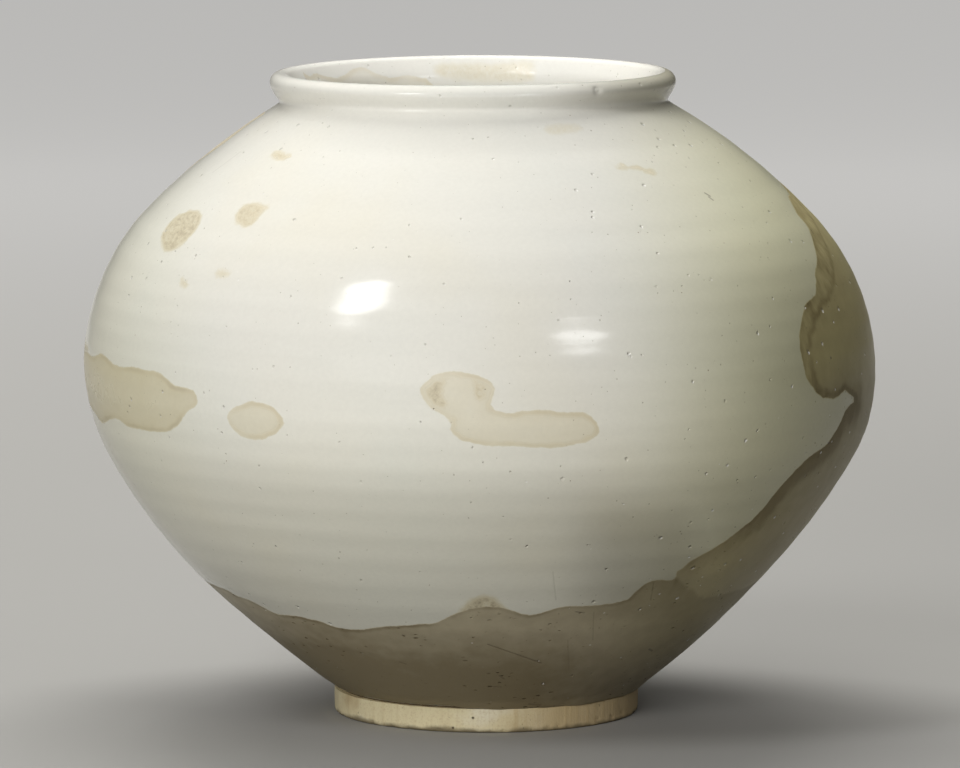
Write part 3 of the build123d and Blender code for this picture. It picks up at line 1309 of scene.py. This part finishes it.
    def tint(self, graph: Graph, tide: Value) -> bpy.types.NodeSocket:
        """Colour of the glaze without its faults and stains.

        Args:
            graph: Nodes of the glaze.
            tide: Where the stains with tide lines are.

        Returns:
            Cloudy white with painted shade: yellower and greyer on the right, yellower a little on the left
                and low down, and greyer low in front to the right and on the lip's right.
        """
        side, height = graph.along("X"), graph.along("Z")
        clouds = graph.noise(6.5, 3.0)
        colour = graph.mix(clouds.step(-0.22, 0.05), self.cool, self.white)
        colour = graph.mix(clouds.step(0.02, 0.25), colour, self.warm)
        # Painted shade: the glaze turns yellower on the shaded right, a little on the far left and on the
        # lower body, in place of the dimmer, warmer light there.
        shaded_sides = side.step(*self.shaded_right).at_least(self.shaded_left_share * side.step(*self.shaded_left))
        # Painted shade: grey darkening on the right side, in a patch low in front to the right and on the
        # right of the lip.
        side_shade = side.step(*self.side_shade_right) * height.step(*self.side_shade_above) * height.step(*self.side_shade_below)
        low_front_shade = side.step(*self.low_front_shade_right) * side.step(*self.low_front_shade_left)
        low_front_shade = low_front_shade * height.step(*self.low_front_shade_below) * height.step(*self.low_front_shade_above)
        lip_shade = side.step(*self.lip_shade_right) * height.step(*self.lip_shade_above)
        # Each turn is a painted shade tint multiplied onto the glaze.
        turns = (
            (shaded_sides, self.fired),
            (height.step(*self.low_shade_below), self.low_shade_yellow),
            (side_shade.at_least(low_front_shade).at_least(lip_shade), self.shade_grey),
            # Stains on the shaded sides turn yellower: partly their own colour, partly painted shade.
            (tide * shaded_sides, self.rust_and_shade),
        )
        for share, turned in turns:
            colour = graph.mix(self.painted_shade_share * share, colour, turned, "MULTIPLY")
        streaks = graph.noise(1.0, 3.0, graph.stretched((3.0, 3.0, 75.0)))
        shade = 1 + 0.05 * streaks + 0.07 * graph.noise(420.0)
        grey = graph.node("ShaderNodeCombineColor", {}, {0: shade, 1: shade, 2: shade}).outputs[0]
        return graph.mix(1.0, colour, grey, "MULTIPLY")

    def stains(self, graph: Graph) -> tuple[Value, Value]:
        """Depth of the stains.

        Args:
            graph: Nodes of the glaze.

        Returns:
            Where a stain with a tide line is, from 0 to 1, and how deep all stains together are.
        """
        coarse, fine = graph.noise(48.0), graph.noise(210.0)
        wander = 2.6 * coarse + 1.9 * fine
        gap = graph.attribute("tide_gap") + wander
        inside = gap.step(0.5, -0.5)
        line = abs(gap + 1.2).step(2.6, 0.0) * graph.noise(34.0).step(-0.30, 0.10)
        ragged = (gap / 3.4 + wander).step(0.0, 1.0)
        band = gap.step(-22.0, 0.0) * (0.75 + 0.6 * graph.noise(26.0, 3.0) + 0.5 * ragged)
        margin = graph.attribute("tide_edge") * (0.42 * band + 0.65 * line)
        depth = graph.attribute("tide_tone") + margin + self.seam(graph, coarse, fine)
        patchy = 1 + 0.36 * graph.noise(17.0, 3.0) + 0.30 * graph.noise(120.0)
        side, height = graph.along("X"), graph.along("Z")
        # Stains are made deeper towards the bottom on the left, and towards the bottom on the right.
        deeper_low = 0.42 * height.step(*self.deeper_below) * side.step(*self.deeper_left)
        deeper_low = deeper_low + 0.30 * height.step(*self.flooded_below) * side.step(*self.flooded_right)
        tide = inside * (depth * patchy + deeper_low)
        blur = 1 + 3 * graph.attribute("cloud_edge")
        hatch = graph.noise(1.0, 3.0, graph.stretched((420.0, 200.0, 420.0)), 0.7)
        soft = ((graph.attribute("cloud_gap") + 1.3 * wander + 4.0 * hatch) / blur).step(1.2, -2.4)
        mottle = 1 + 2.0 * hatch + 0.8 * graph.noise(95.0)
        cloud = soft * graph.attribute("cloud_tone") * mottle
        return inside, tide.at_least(cloud).at_least(0.0)

    def seam(self, graph: Graph, coarse: Value, fine: Value) -> Value:
        """Further depth of a stain along the line inside it.

        Args:
            graph: Nodes of the glaze.
            coarse: Coarse noise that makes the line wander.
            fine: Fine noise that does.

        Returns:
            The depth of the line and of the flow behind it, and of the thin margin outside it.
        """
        gap = graph.attribute("core_gap") + 1.2 * (2.6 * coarse + 1.9 * fine)
        within = gap.step(1.2, -1.2)
        flow = graph.noise(1.0, 3.0, graph.stretched((120.0, 120.0, 34.0)), 0.6)
        height = graph.along("Z")
        dark = 0.10 + 0.8 * coarse + 0.6 * fine + 0.44 * height.step(*self.dark_seam_above)
        line = abs(gap + 1.6).step(3.4, 0.0) * dark.at_least(0.0)
        broad = (gap + 9.0 * flow).step(-17.0, -9.0) * height.step(*self.broad_seam_below)
        line = line + within * (0.34 * broad + (0.3 + 0.6 * flow) * gap.step(-24.0, -1.0))
        line = graph.attribute("core_tone") * line * height.step(*self.seam_above)
        margin = (1 - within) * (0.55 + 2.2 * flow) * height.step(*self.thin_margin_above)
        return line + graph.attribute("core_edge") * margin


@dataclass(frozen=True)
class BareClayFinish:
    """Unglazed cream clay, scraped in fine upright lines, with grit, a dirty worn edge and painted shade that
    browns it towards +X.
    """

    name: str
    axis_x: float
    rim: float
    cream: Colour = (0.74, 0.655, 0.43)
    pale: Colour = (0.80, 0.74, 0.57)
    tan: Colour = (0.50, 0.375, 0.20)
    grime: Colour = (0.15, 0.12, 0.07)
    grit: Colour = (0.10, 0.075, 0.045)
    roughness: float = 0.72
    # Span where the scraped lines strengthen and the painted shade browns the clay.
    scraped_and_shaded_right: Span = (-5.0, 52.0)
    grime_below: Span = (3.2, 0.2)
    clean_inside: Span = (1.4 * MM, 3.6 * MM)
    hole_radius: float = 1.0 * MM
    hole_depth: float = 0.5

    def material(self, marks: Sequence[Vector] = ()) -> bpy.types.Material:
        """Makes the clay.

        Args:
            marks: Places of dark holes.

        Returns:
            The material.
        """
        graph = Graph(self.name)
        clouds = graph.noise(38.0, 3.0)
        scrape = graph.noise(1.0, vector=graph.stretched((430.0, 430.0, 16.0)))
        grain = graph.noise(900.0)
        # Painted shade: tan browns the clay towards +X in place of shade; the scraped lines there, stronger
        # too, are real.
        scraped = graph.along("X").step(*self.scraped_and_shaded_right)
        colour = graph.mix(clouds.step(-0.02, 0.22), self.cream, self.pale)
        lines = scrape.step(-0.05, 0.30) * (0.25 + 0.75 * scraped)
        browned = (0.8 * clouds.step(-0.06, -0.26), 0.88 * scraped, lines, 0.4 * grain.step(-0.05, 0.3))
        for share in browned:
            colour = graph.mix(share, colour, self.tan)
        specks = graph.dots(240.0, 0.13).step(0.0, 0.5)
        colour = graph.mix(0.55 * specks, colour, self.grit)
        low = graph.along("Z") + 5.0 * graph.noise(110.0, 3.0) + 5.0 * graph.noise(24.0)
        reach = graph.distance(graph.stretched((1.0, 1.0, 0.0)), (self.axis_x, 0.0, 0.0))
        under = reach.step(*[self.rim - inset for inset in self.clean_inside])
        dirty = low.step(*self.grime_below) * (1 - 0.8 * under)
        colour = graph.mix(0.88 * dirty, colour, self.grime)
        relief = 0.22 * scrape + 0.12 * grain - 0.3 * specks + 0.25 * graph.noise(160.0, 3.0)
        for place in marks:
            hole = graph.near_point(place, self.hole_radius)
            colour = graph.mix(0.9 * hole, colour, self.grit)
            relief = relief - self.hole_depth * hole
        return graph.finished(colour, self.roughness + 0.2 * clouds, relief)


@dataclass(frozen=True)
class BodyClayFinish:
    """Fired clay that the glaze hides, grainy and dry."""

    name: str
    clay: Colour
    speck: Colour = (0.45, 0.36, 0.22)
    roughness: float = 0.8

    def material(self) -> bpy.types.Material:
        """Makes the clay.

        Returns:
            The material.
        """
        graph = Graph(self.name)
        grain = graph.noise(240.0, 3.0)
        specks = graph.dots(120.0, 0.14).step(0.0, 0.6)
        colour = graph.mix(0.2 * grain.step(0.0, 0.35), self.clay, self.speck)
        colour = graph.mix(0.5 * specks, colour, self.speck)
        return graph.finished(colour, self.roughness + 0.2 * grain, 0.2 * grain - 0.2 * specks)


# Sub-assemblies

@dataclass
class ClayBody:
    """The thrown bowls, the mouth rim and the slip that joins them, all under the glaze."""

    outline: JarOutline
    step: float = 7.0 * MM
    segments: int = 96
    porcelain: Colour = (0.74, 0.71, 0.62)
    slip: Colour = (0.78, 0.75, 0.66)
    pieces: list[SpunPiece] = field(default_factory=list)

    def build(self) -> list[SpunPiece]:
        """Spins the rings of the body, cut level at the joints.

        Returns:
            The five rings.
        """
        outer, inner = curve(self.outline.outer(), self.step), curve(self.outline.inner(), self.step)
        seam = [corner.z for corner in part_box("belly_slip")]
        rim = [corner.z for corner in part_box("rim_slip")]
        cuts = {"belly_slip": seam, "upper_bowl": [seam[1], rim[0]], "rim_slip": rim}
        rings = {}
        for node, (low, high) in cuts.items():
            rings[node] = stretch(outer, low, high) + stretch(inner, low, high)[::-1]
        below = stretch(outer, outer[0][1], seam[0]) + stretch(inner, inner[0][1], seam[0])[::-1]
        rings["lower_bowl"] = [(0.0, outer[0][1]), *below]
        above = stretch(outer, rim[1], self.outline.crest)
        rings["mouth_rim"] = above + stretch(inner, rim[1], self.outline.crest)[-2::-1]
        for node, section in rings.items():
            slot = "luting_slip" if "slip" in node else "porcelain"
            self.pieces.append(SpunPiece(node, slot, section, self.segments))
            self.pieces[-1].build()
        return self.pieces

    def dress(self) -> None:
        """Gives the bowls their porcelain and the joints their slip."""
        porcelain = BodyClayFinish("porcelain body", self.porcelain).material()
        slip = BodyClayFinish("luting slip", self.slip).material()
        for piece in self.pieces:
            piece.dress(slip if piece.slot == "luting_slip" else porcelain)


@dataclass
class GlazeCoats:
    """The two coats of glaze, which meet on the crest of the lip.

    A span is the start and the end of a smooth step. A ridge has a height, a depth and a width.
    """

    outline: JarOutline
    fine_step: float = 2.7 * MM
    inner_coarseness: float = 1.6
    hidden_step: float = 7.0 * MM
    segments: int = 300
    ring_pitch: float = 13.0 * MM
    ring_depth: float = 0.07 * MM
    ring_drift: float = 2.0
    drift_length: float = 31.0 * MM
    rings_above: Span = (25 * MM, 60 * MM)
    rings_below: Span = (335 * MM, 310 * MM)
    inner_ring_pitch: float = 17.0 * MM
    inner_ring_depth: float = 0.30 * MM
    inner_rings_above: Span = (3 * MM, 70 * MM)
    inner_rings_below: Span = (335 * MM, 300 * MM)
    bead: float = 0.55 * MM
    bead_reach: float = 2.2 * MM
    seam: Triple = (160.0 * MM, 0.25 * MM, 9 * MM)
    neck_ridge: Triple = (339.6 * MM, 0.22 * MM, 0.9 * MM)
    lip_crease: Triple = (346.8 * MM, 0.20 * MM, 0.8 * MM)
    neck_forward: float = -2.2 * MM
    neck_raise: float = 3.6 * MM
    neck_ahead: Span = (0.0, 0.9)
    neck_above: Span = (322 * MM, 342 * MM)
    neck_below: Span = (357.5 * MM, 344 * MM)
    edge_waver: float = 1.6 * MM
    edge_grain: float = 16 * MM
    edge_reach: float = 6.0 * MM
    edge_lift: float = 1.4 * MM
    lifted_left: Span = (8 * MM, -20 * MM)
    lifted_ahead: Span = (30 * MM, -10 * MM)
    chip_pixel: Pixel = (598, 90)
    chip_depth: float = 1.8 * MM
    chip_radius: float = 4.8 * MM
    chip_cuts: int = 5
    # Whites of the inner coat, paler than the outer glaze's: painted light inside the mouth.
    inner_lit_white: Colour = (0.95, 0.935, 0.88)
    inner_lit_warm: Colour = (0.93, 0.905, 0.83)
    inner_lit_cool: Colour = (0.93, 0.93, 0.89)
    outer: Optional[SpunPiece] = None
    inner: Optional[SpunPiece] = None

    def swell(self, height: float) -> float:
        """How far the outer skin stands proud of its even thickness.

        Args:
            height: Height above the ground.

        Returns:
            The sum of the throwing rings, the bead at the foot and the ridges.
        """
        drift = self.ring_drift * math.sin(height / self.drift_length)
        proud = self.ring_depth * math.sin(math.tau * height / self.ring_pitch + drift)
        proud *= softly(height, *self.rings_above) * softly(height, *self.rings_below)
        bead = (self.outline.foot_top, self.bead, self.bead_reach)
        for middle, depth, width in (bead, self.seam, self.neck_ridge, self.lip_crease):
            proud += depth * math.exp(-(((height - middle) / width) ** 2))
        return proud

    def inner_swell(self, height: float) -> float:
        """Throwing rings inside the jar.

        Args:
            height: Height above the ground.

        Returns:
            How far the inner skin moves there.
        """
        start, full = self.inner_rings_above
        fade = softly(height, self.outline.floor + start, full) * softly(height, *self.inner_rings_below)
        return self.inner_ring_depth * math.sin(math.tau * height / self.inner_ring_pitch) * fade

    @staticmethod
    def skin(spots: Sequence[Spot], swell: Callable[[float], float]) -> list[Spot]:
        """Moves a line out square to itself.

        Args:
            spots: Points of the line.
            swell: How far to move a point of a given height.

        Returns:
            The moved points.
        """
        moved = []
        for index, (r, z) in enumerate(spots):
            before, after = spots[max(0, index - 1)], spots[min(len(spots) - 1, index + 1)]
            run, climb = after[0] - before[0], after[1] - before[1]
            length = math.hypot(run, climb)
            moved.append((r + swell(z) * climb / length, z - swell(z) * run / length))
        return moved

    def build(self) -> list[SpunPiece]:
        """Spins both coats.

        Returns:
            The outer coat and the inner one.
        """
        glaze = self.outline.glaze
        outer, inner = self.outline.outer(), self.outline.inner()
        outside = self.skin(curve([moved_out(s, glaze) for s in outer], self.fine_step), self.swell)
        backing = curve(outer, self.hidden_step)
        self.outer = SpunPiece("outer_glaze", "glaze", outside + backing[::-1], self.segments)
        inside = curve([moved_out(s, -glaze) for s in inner], self.inner_coarseness * self.fine_step)
        inside = [inside[0], *self.skin(inside, self.inner_swell)[1:]]
        lining = curve(inner, self.hidden_step)
        self.inner = SpunPiece("inner_glaze", "glaze", inside + lining[::-1], self.segments)
        for coat in (self.outer, self.inner):
            coat.build()
        return [self.outer, self.inner]

    def finish_edges(self, view: PhotoView) -> None:
        """Fills the neck out in front, makes the glaze line at the foot uneven and flakes the lip.

        Args:
            view: Camera in whose picture the flake is placed.
        """
        places = self.outer.points()
        heights = places[:, 2]
        ahead = softly(-places[:, 1] / np.hypot(places[:, 0], places[:, 1]), *self.neck_ahead)
        neck = ahead * softly(heights, *self.neck_above) * softly(heights, *self.neck_below)
        self.outer.shift("full neck", neck, self.neck_forward, "Y")
        self.outer.shift("raised neck", neck, self.neck_raise, "Z")
        foot_line = np.clip((self.outline.foot_top + self.edge_reach - heights) / self.edge_reach, 0, 1)
        self.outer.shift("foot line", foot_line, self.edge_waver, "Z", self.edge_grain)
        lifted = softly(places[:, 0], *self.lifted_left) * softly(places[:, 1], *self.lifted_ahead)
        self.outer.shift("open foot line", foot_line * lifted, self.edge_lift, "Z")
        place = view.seen(self.outer, self.chip_pixel)
        push = Vector((-place.x, -place.y, 0)).normalized() * self.chip_depth
        self.outer.nick(place, push, self.chip_radius, self.chip_cuts)

    def dress(self, stains: StainMap, view: PhotoView) -> None:
        """Writes the stains on the coats and gives them their glaze.

        Args:
            stains: What writes the stains.
            view: Camera in whose picture the marks are placed.
        """
        stains.paint(self.outer, OUTER_STAINS)
        stains.paint(self.inner, INNER_STAINS)
        marks = [(mark.spots(view, self.outer), mark) for mark in MARKS]
        self.outer.dress(GlazeFinish("outer glaze").material(marks))
        # Painted light: the inner coat takes the paler whites, in place of more light inside the mouth.
        pale = GlazeFinish("inner glaze", self.inner_lit_white, self.inner_lit_warm, self.inner_lit_cool, painted_shade_share=0.0)
        self.inner.dress(pale.material())


@dataclass
class Foot:
    """The bare foot ring, the slip above it and the glaze in the hollow under the jar.

    A chip has its pixel in the photograph, and its radius and depth in millimetres.
    """

    outline: JarOutline
    worn: float = 1.5 * MM
    step: float = 1.3 * MM
    face_step: float = 6.0 * MM
    segments: int = 330
    hollow_segments: int = 160
    hollow_round: float = 4.0
    slip_recess: float = 2.2 * MM
    # Dark slip colour: a painted shadow in the gap under the glaze edge.
    painted_gap_shadow: Colour = (0.12, 0.09, 0.055)
    scraped_depth: float = 0.7 * MM
    scraped_grain: float = 14 * MM
    scraped_skin: float = 0.2 * MM
    scraped_from: float = 1.0 * MM
    scraped_fade: Span = (3 * MM, 2 * MM)
    left_bulge: float = -1.3 * MM
    bulge_left: Span = (-30 * MM, -72 * MM)
    chips: tuple[tuple[Pixel, float, float], ...] = (
        ((338, 712), 3.4, 1.7), ((344, 717), 2.6, 1.2), ((336, 703), 2.0, 0.7), ((371, 722), 2.8, 1.2),
        ((383, 725), 2.0, 1.0), ((392, 726), 3.6, 0.9), ((408, 728), 3.0, 0.8), ((441, 730), 2.2, 0.7),
        ((503, 731), 1.9, 1.1), ((549, 728), 2.6, 1.0), ((558, 727), 2.8, 1.1), ((570, 726), 2.6, 0.9),
        ((598, 721), 2.8, 0.9), ((612, 717), 3.0, 1.0), ((622, 713), 2.4, 0.7),
    )
    chip_lift: float = 0.7
    hidden_chips: int = 26
    hidden_angles: Span = (75, 285)
    hidden_radii: Span = (1.6, 3.4)
    hidden_depths: Span = (0.5, 1.2)
    hidden_inset: float = 0.4 * MM
    hidden_height: float = 0.5 * MM
    seed: int = 5
    holes: tuple[Pixel, ...] = ((453, 728), (473, 718))
    axis_x: float = 0.0
    ring: Optional[SpunPiece] = None
    slip: Optional[SpunPiece] = None
    hollow: Optional[SpunPiece] = None

    def build(self) -> list[SpunPiece]:
        """Spins the ring, its slip and the glaze of the hollow, upright under the jar.

        Returns:
            The three pieces.
        """
        low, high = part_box("foot_ring")
        coat_low, coat_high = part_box("base_glaze")
        self.axis_x = (low.x + high.x) / 2
        outer, inner, top = high.y, coat_high.y, high.z
        glaze, slip_top = self.outline.glaze, self.outline.foot_top
        toe, heel = Station(inner, self.worn, 180.0), Station(outer, self.worn, 0.0)
        flat = [Station(inner + self.worn, 0.0, 90.0), Station(outer - self.worn, 0.0, 90.0)]
        section = curve([toe, *flat, heel, Station(outer, top, 0.0)], self.step)
        section += curve([Station(inner, top, 180.0), toe], self.step)[:-1]
        self.ring = SpunPiece("foot_ring", "bare_clay", section, self.segments, self.axis_x)
        recess = outer - self.slip_recess
        band = [(inner, top), (recess, top), (recess, slip_top), (inner, slip_top)]
        self.slip = SpunPiece("foot_slip", "luting_slip", band, self.segments, self.axis_x)
        corner = self.hollow_round * glaze
        edge = Station(inner - corner, slip_top - glaze, 90.0)
        side_r = inner - glaze
        side = [Station(side_r, slip_top - corner, 180.0), Station(side_r, coat_low.z + glaze, 180.0)]
        coat = curve([Station(0.0, slip_top - glaze, 90.0), edge], self.face_step)[:-1]
        coat += curve([edge, *side], self.step)
        coat += [(inner, coat_low.z), (inner, slip_top), (0.0, slip_top)]
        self.hollow = SpunPiece("base_glaze", "glaze", coat, self.hollow_segments, self.axis_x)
        pieces = [self.ring, self.slip, self.hollow]
        for piece in pieces:
            piece.build()
        return pieces

    def wear(self, view: PhotoView) -> None:
        """Roughens the scraped wall and knocks chips off the edge that the jar stands on.

        Args:
            view: Camera in whose picture the chips in front are placed.
        """
        places = self.ring.points()
        heights = places[:, 2]
        radii = np.hypot(places[:, 0] - self.axis_x, places[:, 1])
        rim = self.outline.foot_radius
        fade_low, fade_high = self.scraped_fade
        outside = np.where(radii > rim - self.scraped_skin, 1.0, 0.0)
        outside *= np.clip((heights - self.scraped_from) / fade_low, 0, 1)
        outside *= np.clip((heights.max() - heights) / fade_high, 0, 1)
        self.ring.shift("scraped wall", outside, self.scraped_depth, "NORMAL", self.scraped_grain)
        self.ring.shift("left bulge", softly(places[:, 0], *self.bulge_left), self.left_bulge, "X")
        chips = [(view.seen(self.ring, pixel), radius, depth) for pixel, radius, depth in self.chips]
        chance = random.Random(self.seed)
        reach = rim - self.hidden_inset
        for _ in range(self.hidden_chips):
            angle = math.radians(chance.uniform(*self.hidden_angles))
            x, y = self.axis_x + reach * math.sin(angle), -reach * math.cos(angle)
            spot = Vector((x, y, self.hidden_height))
            chips.append((spot, chance.uniform(*self.hidden_radii), chance.uniform(*self.hidden_depths)))
        for spot, radius, depth in chips:
            inwards = Vector((self.axis_x - spot.x, -spot.y, 0)).normalized()
            push = (inwards + Vector((0, 0, self.chip_lift))) * (depth * MM)
            self.ring.nick(spot, push, radius * MM)

    def dress(self, stains: StainMap, view: PhotoView) -> None:
        """Gives the ring its bare clay, the slip a dark colour that paints the shadow in the gap under the
        glaze, and the hollow its glaze.

        Args:
            stains: What writes the stains.
            view: Camera in whose picture the holes are placed.
        """
        stains.paint(self.hollow, UNDER_STAINS)
        clay = BareClayFinish("bare foot clay", self.axis_x, self.outline.foot_radius)
        self.ring.dress(clay.material([view.seen(self.ring, hole) for hole in self.holes]))
        # Painted shadow: the slip shows only in the gap under the glaze edge, and its dark colour stands in
        # for shade there.
        self.slip.dress(BodyClayFinish("grimy slip", self.painted_gap_shadow).material())
        self.hollow.dress(GlazeFinish("hollow glaze", painted_shade_share=0.0).material())


@dataclass(frozen=True)
class Softbox:
    """A lamp with a soft oval front, which shows in the glaze only if it is mirrored."""

    name: str
    azimuth: float
    elevation: float
    width: float
    height: float
    power: float
    target: Triple = (0.0, 0.0, 250 * MM)
    distance: float = 2.4
    tint: Colour = (1.0, 0.99, 0.95)
    mirrored: bool = False

    def build(self) -> None:
        """Adds the lamp, facing its target, and hides it from reflections if it isn't mirrored."""
        azimuth, elevation = math.radians(self.azimuth), math.radians(self.elevation)
        level = math.cos(elevation)
        way = Vector((math.sin(azimuth) * level, -math.cos(azimuth) * level, math.sin(elevation)))
        alone()
        bpy.ops.object.light_add(type="AREA", location=Vector(self.target) + way * self.distance)
        lamp = bpy.context.object
        lamp.name = self.name
        lamp.rotation_euler = way.to_track_quat("Z", "Y").to_euler()
        lamp.data.shape = "ELLIPSE"
        lamp.data.size, lamp.data.size_y = self.width, self.height
        lamp.data.energy = self.power
        lamp.data.color = self.tint
        lamp.visible_glossy = self.mirrored


NEUTRAL = (1.0, 1.0, 1.0)
KEY_TARGET = (-64 * MM, -200 * MM, 251 * MM)
SECOND_TARGET = (54 * MM, -206 * MM, 233 * MM)
BODY_TARGET = (0.0, 0.0, 200 * MM)
MOUTH_TARGET = (0.0, 0.0, 300 * MM)
LAMPS = (
    Softbox("key softbox", -43.9, 45.7, 0.49, 1.0, 13.2, KEY_TARGET, tint=NEUTRAL, mirrored=True),
    Softbox("second softbox", 32.6, 29.0, 0.64, 0.52, 6.2, SECOND_TARGET, tint=NEUTRAL, mirrored=True),
    Softbox("fill softbox", -22.0, 12.0, 1.8, 0.8, 39.5, BODY_TARGET, distance=2.6),
    Softbox("side softbox", -112.0, 64.0, 1.2, 1.0, 4.0),
    Softbox("top softbox", 180.0, 66.0, 2.0, 1.0, 36.0, BODY_TARGET),
    Softbox("left rear softbox", -150.0, 45.0, 1.2, 1.0, 18.0),
    Softbox("right rear softbox", 150.0, 45.0, 1.2, 1.0, 7.0),
    Softbox("overhead softbox", -15.0, 80.0, 1.4, 1.4, 2.0, MOUTH_TARGET, tint=(1.0, 1.0, 0.98)),
)


@dataclass
class Studio:
    """Plain pale floor, soft lamps and a dim even sky."""

    size: float = 24.0
    floor: Colour = (0.10, 0.097, 0.088)
    floor_seen: Colour = (0.40, 0.395, 0.385)
    floor_roughness: float = 0.9
    far_seen: Colour = (0.46, 0.455, 0.445)
    black: Colour = (0.0, 0.0, 0.0)
    far: Span = (0.8, 3.4)
    aside: Span = (0.6, 1.5)
    dimmed: float = 0.75
    sky: Colour = (1.0, 0.97, 0.90)
    sky_strength: float = 0.06
    lamps: tuple[Softbox, ...] = LAMPS

    def build(self) -> None:
        """Adds the floor, the lamps and the sky."""
        alone()
        bpy.ops.mesh.primitive_plane_add(size=self.size, location=(0, 0, 0))
        floor = bpy.context.object
        floor.name = "studio_floor"
        floor.data.materials.append(self.paper())
        for lamp in self.lamps:
            lamp.build()
        world = bpy.data.worlds.new("studio sky")
        bpy.context.scene.world = world
        world.use_nodes = True
        background = world.node_tree.nodes["Background"]
        background.inputs["Color"].default_value = (*self.sky, 1.0)
        background.inputs["Strength"].default_value = self.sky_strength
        bpy.context.scene.view_settings.view_transform = "Standard"

    def paper(self) -> bpy.types.Material:
        """Matt floor paper, paler to the eye than to the jar, that stays pale far from the lamps.

        Returns:
            The material.
        """
        graph = Graph("floor paper")
        path = graph.node("ShaderNodeLightPath", {}, {})
        rays = [Value(graph, path.outputs[f"Is {kind} Ray"]) for kind in ("Camera", "Glossy", "Transmission")]
        looked_at = rays[0].at_least(rays[1]).at_least(rays[2])
        graph.feed(graph.shader.inputs["Base Color"], graph.mix(looked_at, self.floor, self.floor_seen))
        distant = Value(graph, graph.vector("LENGTH", graph.place, result="Value")).step(*self.far)
        dimmed = 1 - self.dimmed * (abs(graph.along("X")) * MM).step(*self.aside)
        glow = graph.mix(looked_at * distant * dimmed, self.black, self.far_seen)
        graph.feed(graph.shader.inputs["Emission Color"], glow)
        graph.shader.inputs["Emission Strength"].default_value = 1.0
        graph.shader.inputs["Roughness"].default_value = self.floor_roughness
        return graph.material


def main() -> None:
    """Builds the jar and the studio, and reports each piece."""
    logging.basicConfig(level=logging.INFO, format="%(name)s: %(message)s")
    outline, lean, view = JarOutline.from_frame(), Lean.from_frame(), PhotoView()
    view.build()
    body, coats, foot = ClayBody(outline), GlazeCoats(outline), Foot(outline)
    warp = KilnWarp(lean)
    warp.build()
    for piece in body.build() + coats.build():
        warp.press(piece)
    warp.clear()
    foot.build()
    coats.finish_edges(view)
    foot.wear(view)
    stains = StainMap(view, lean)
    body.dress()
    coats.dress(stains, view)
    foot.dress(stains, view)
    Studio().build()


if __name__ == "__main__":
    main()
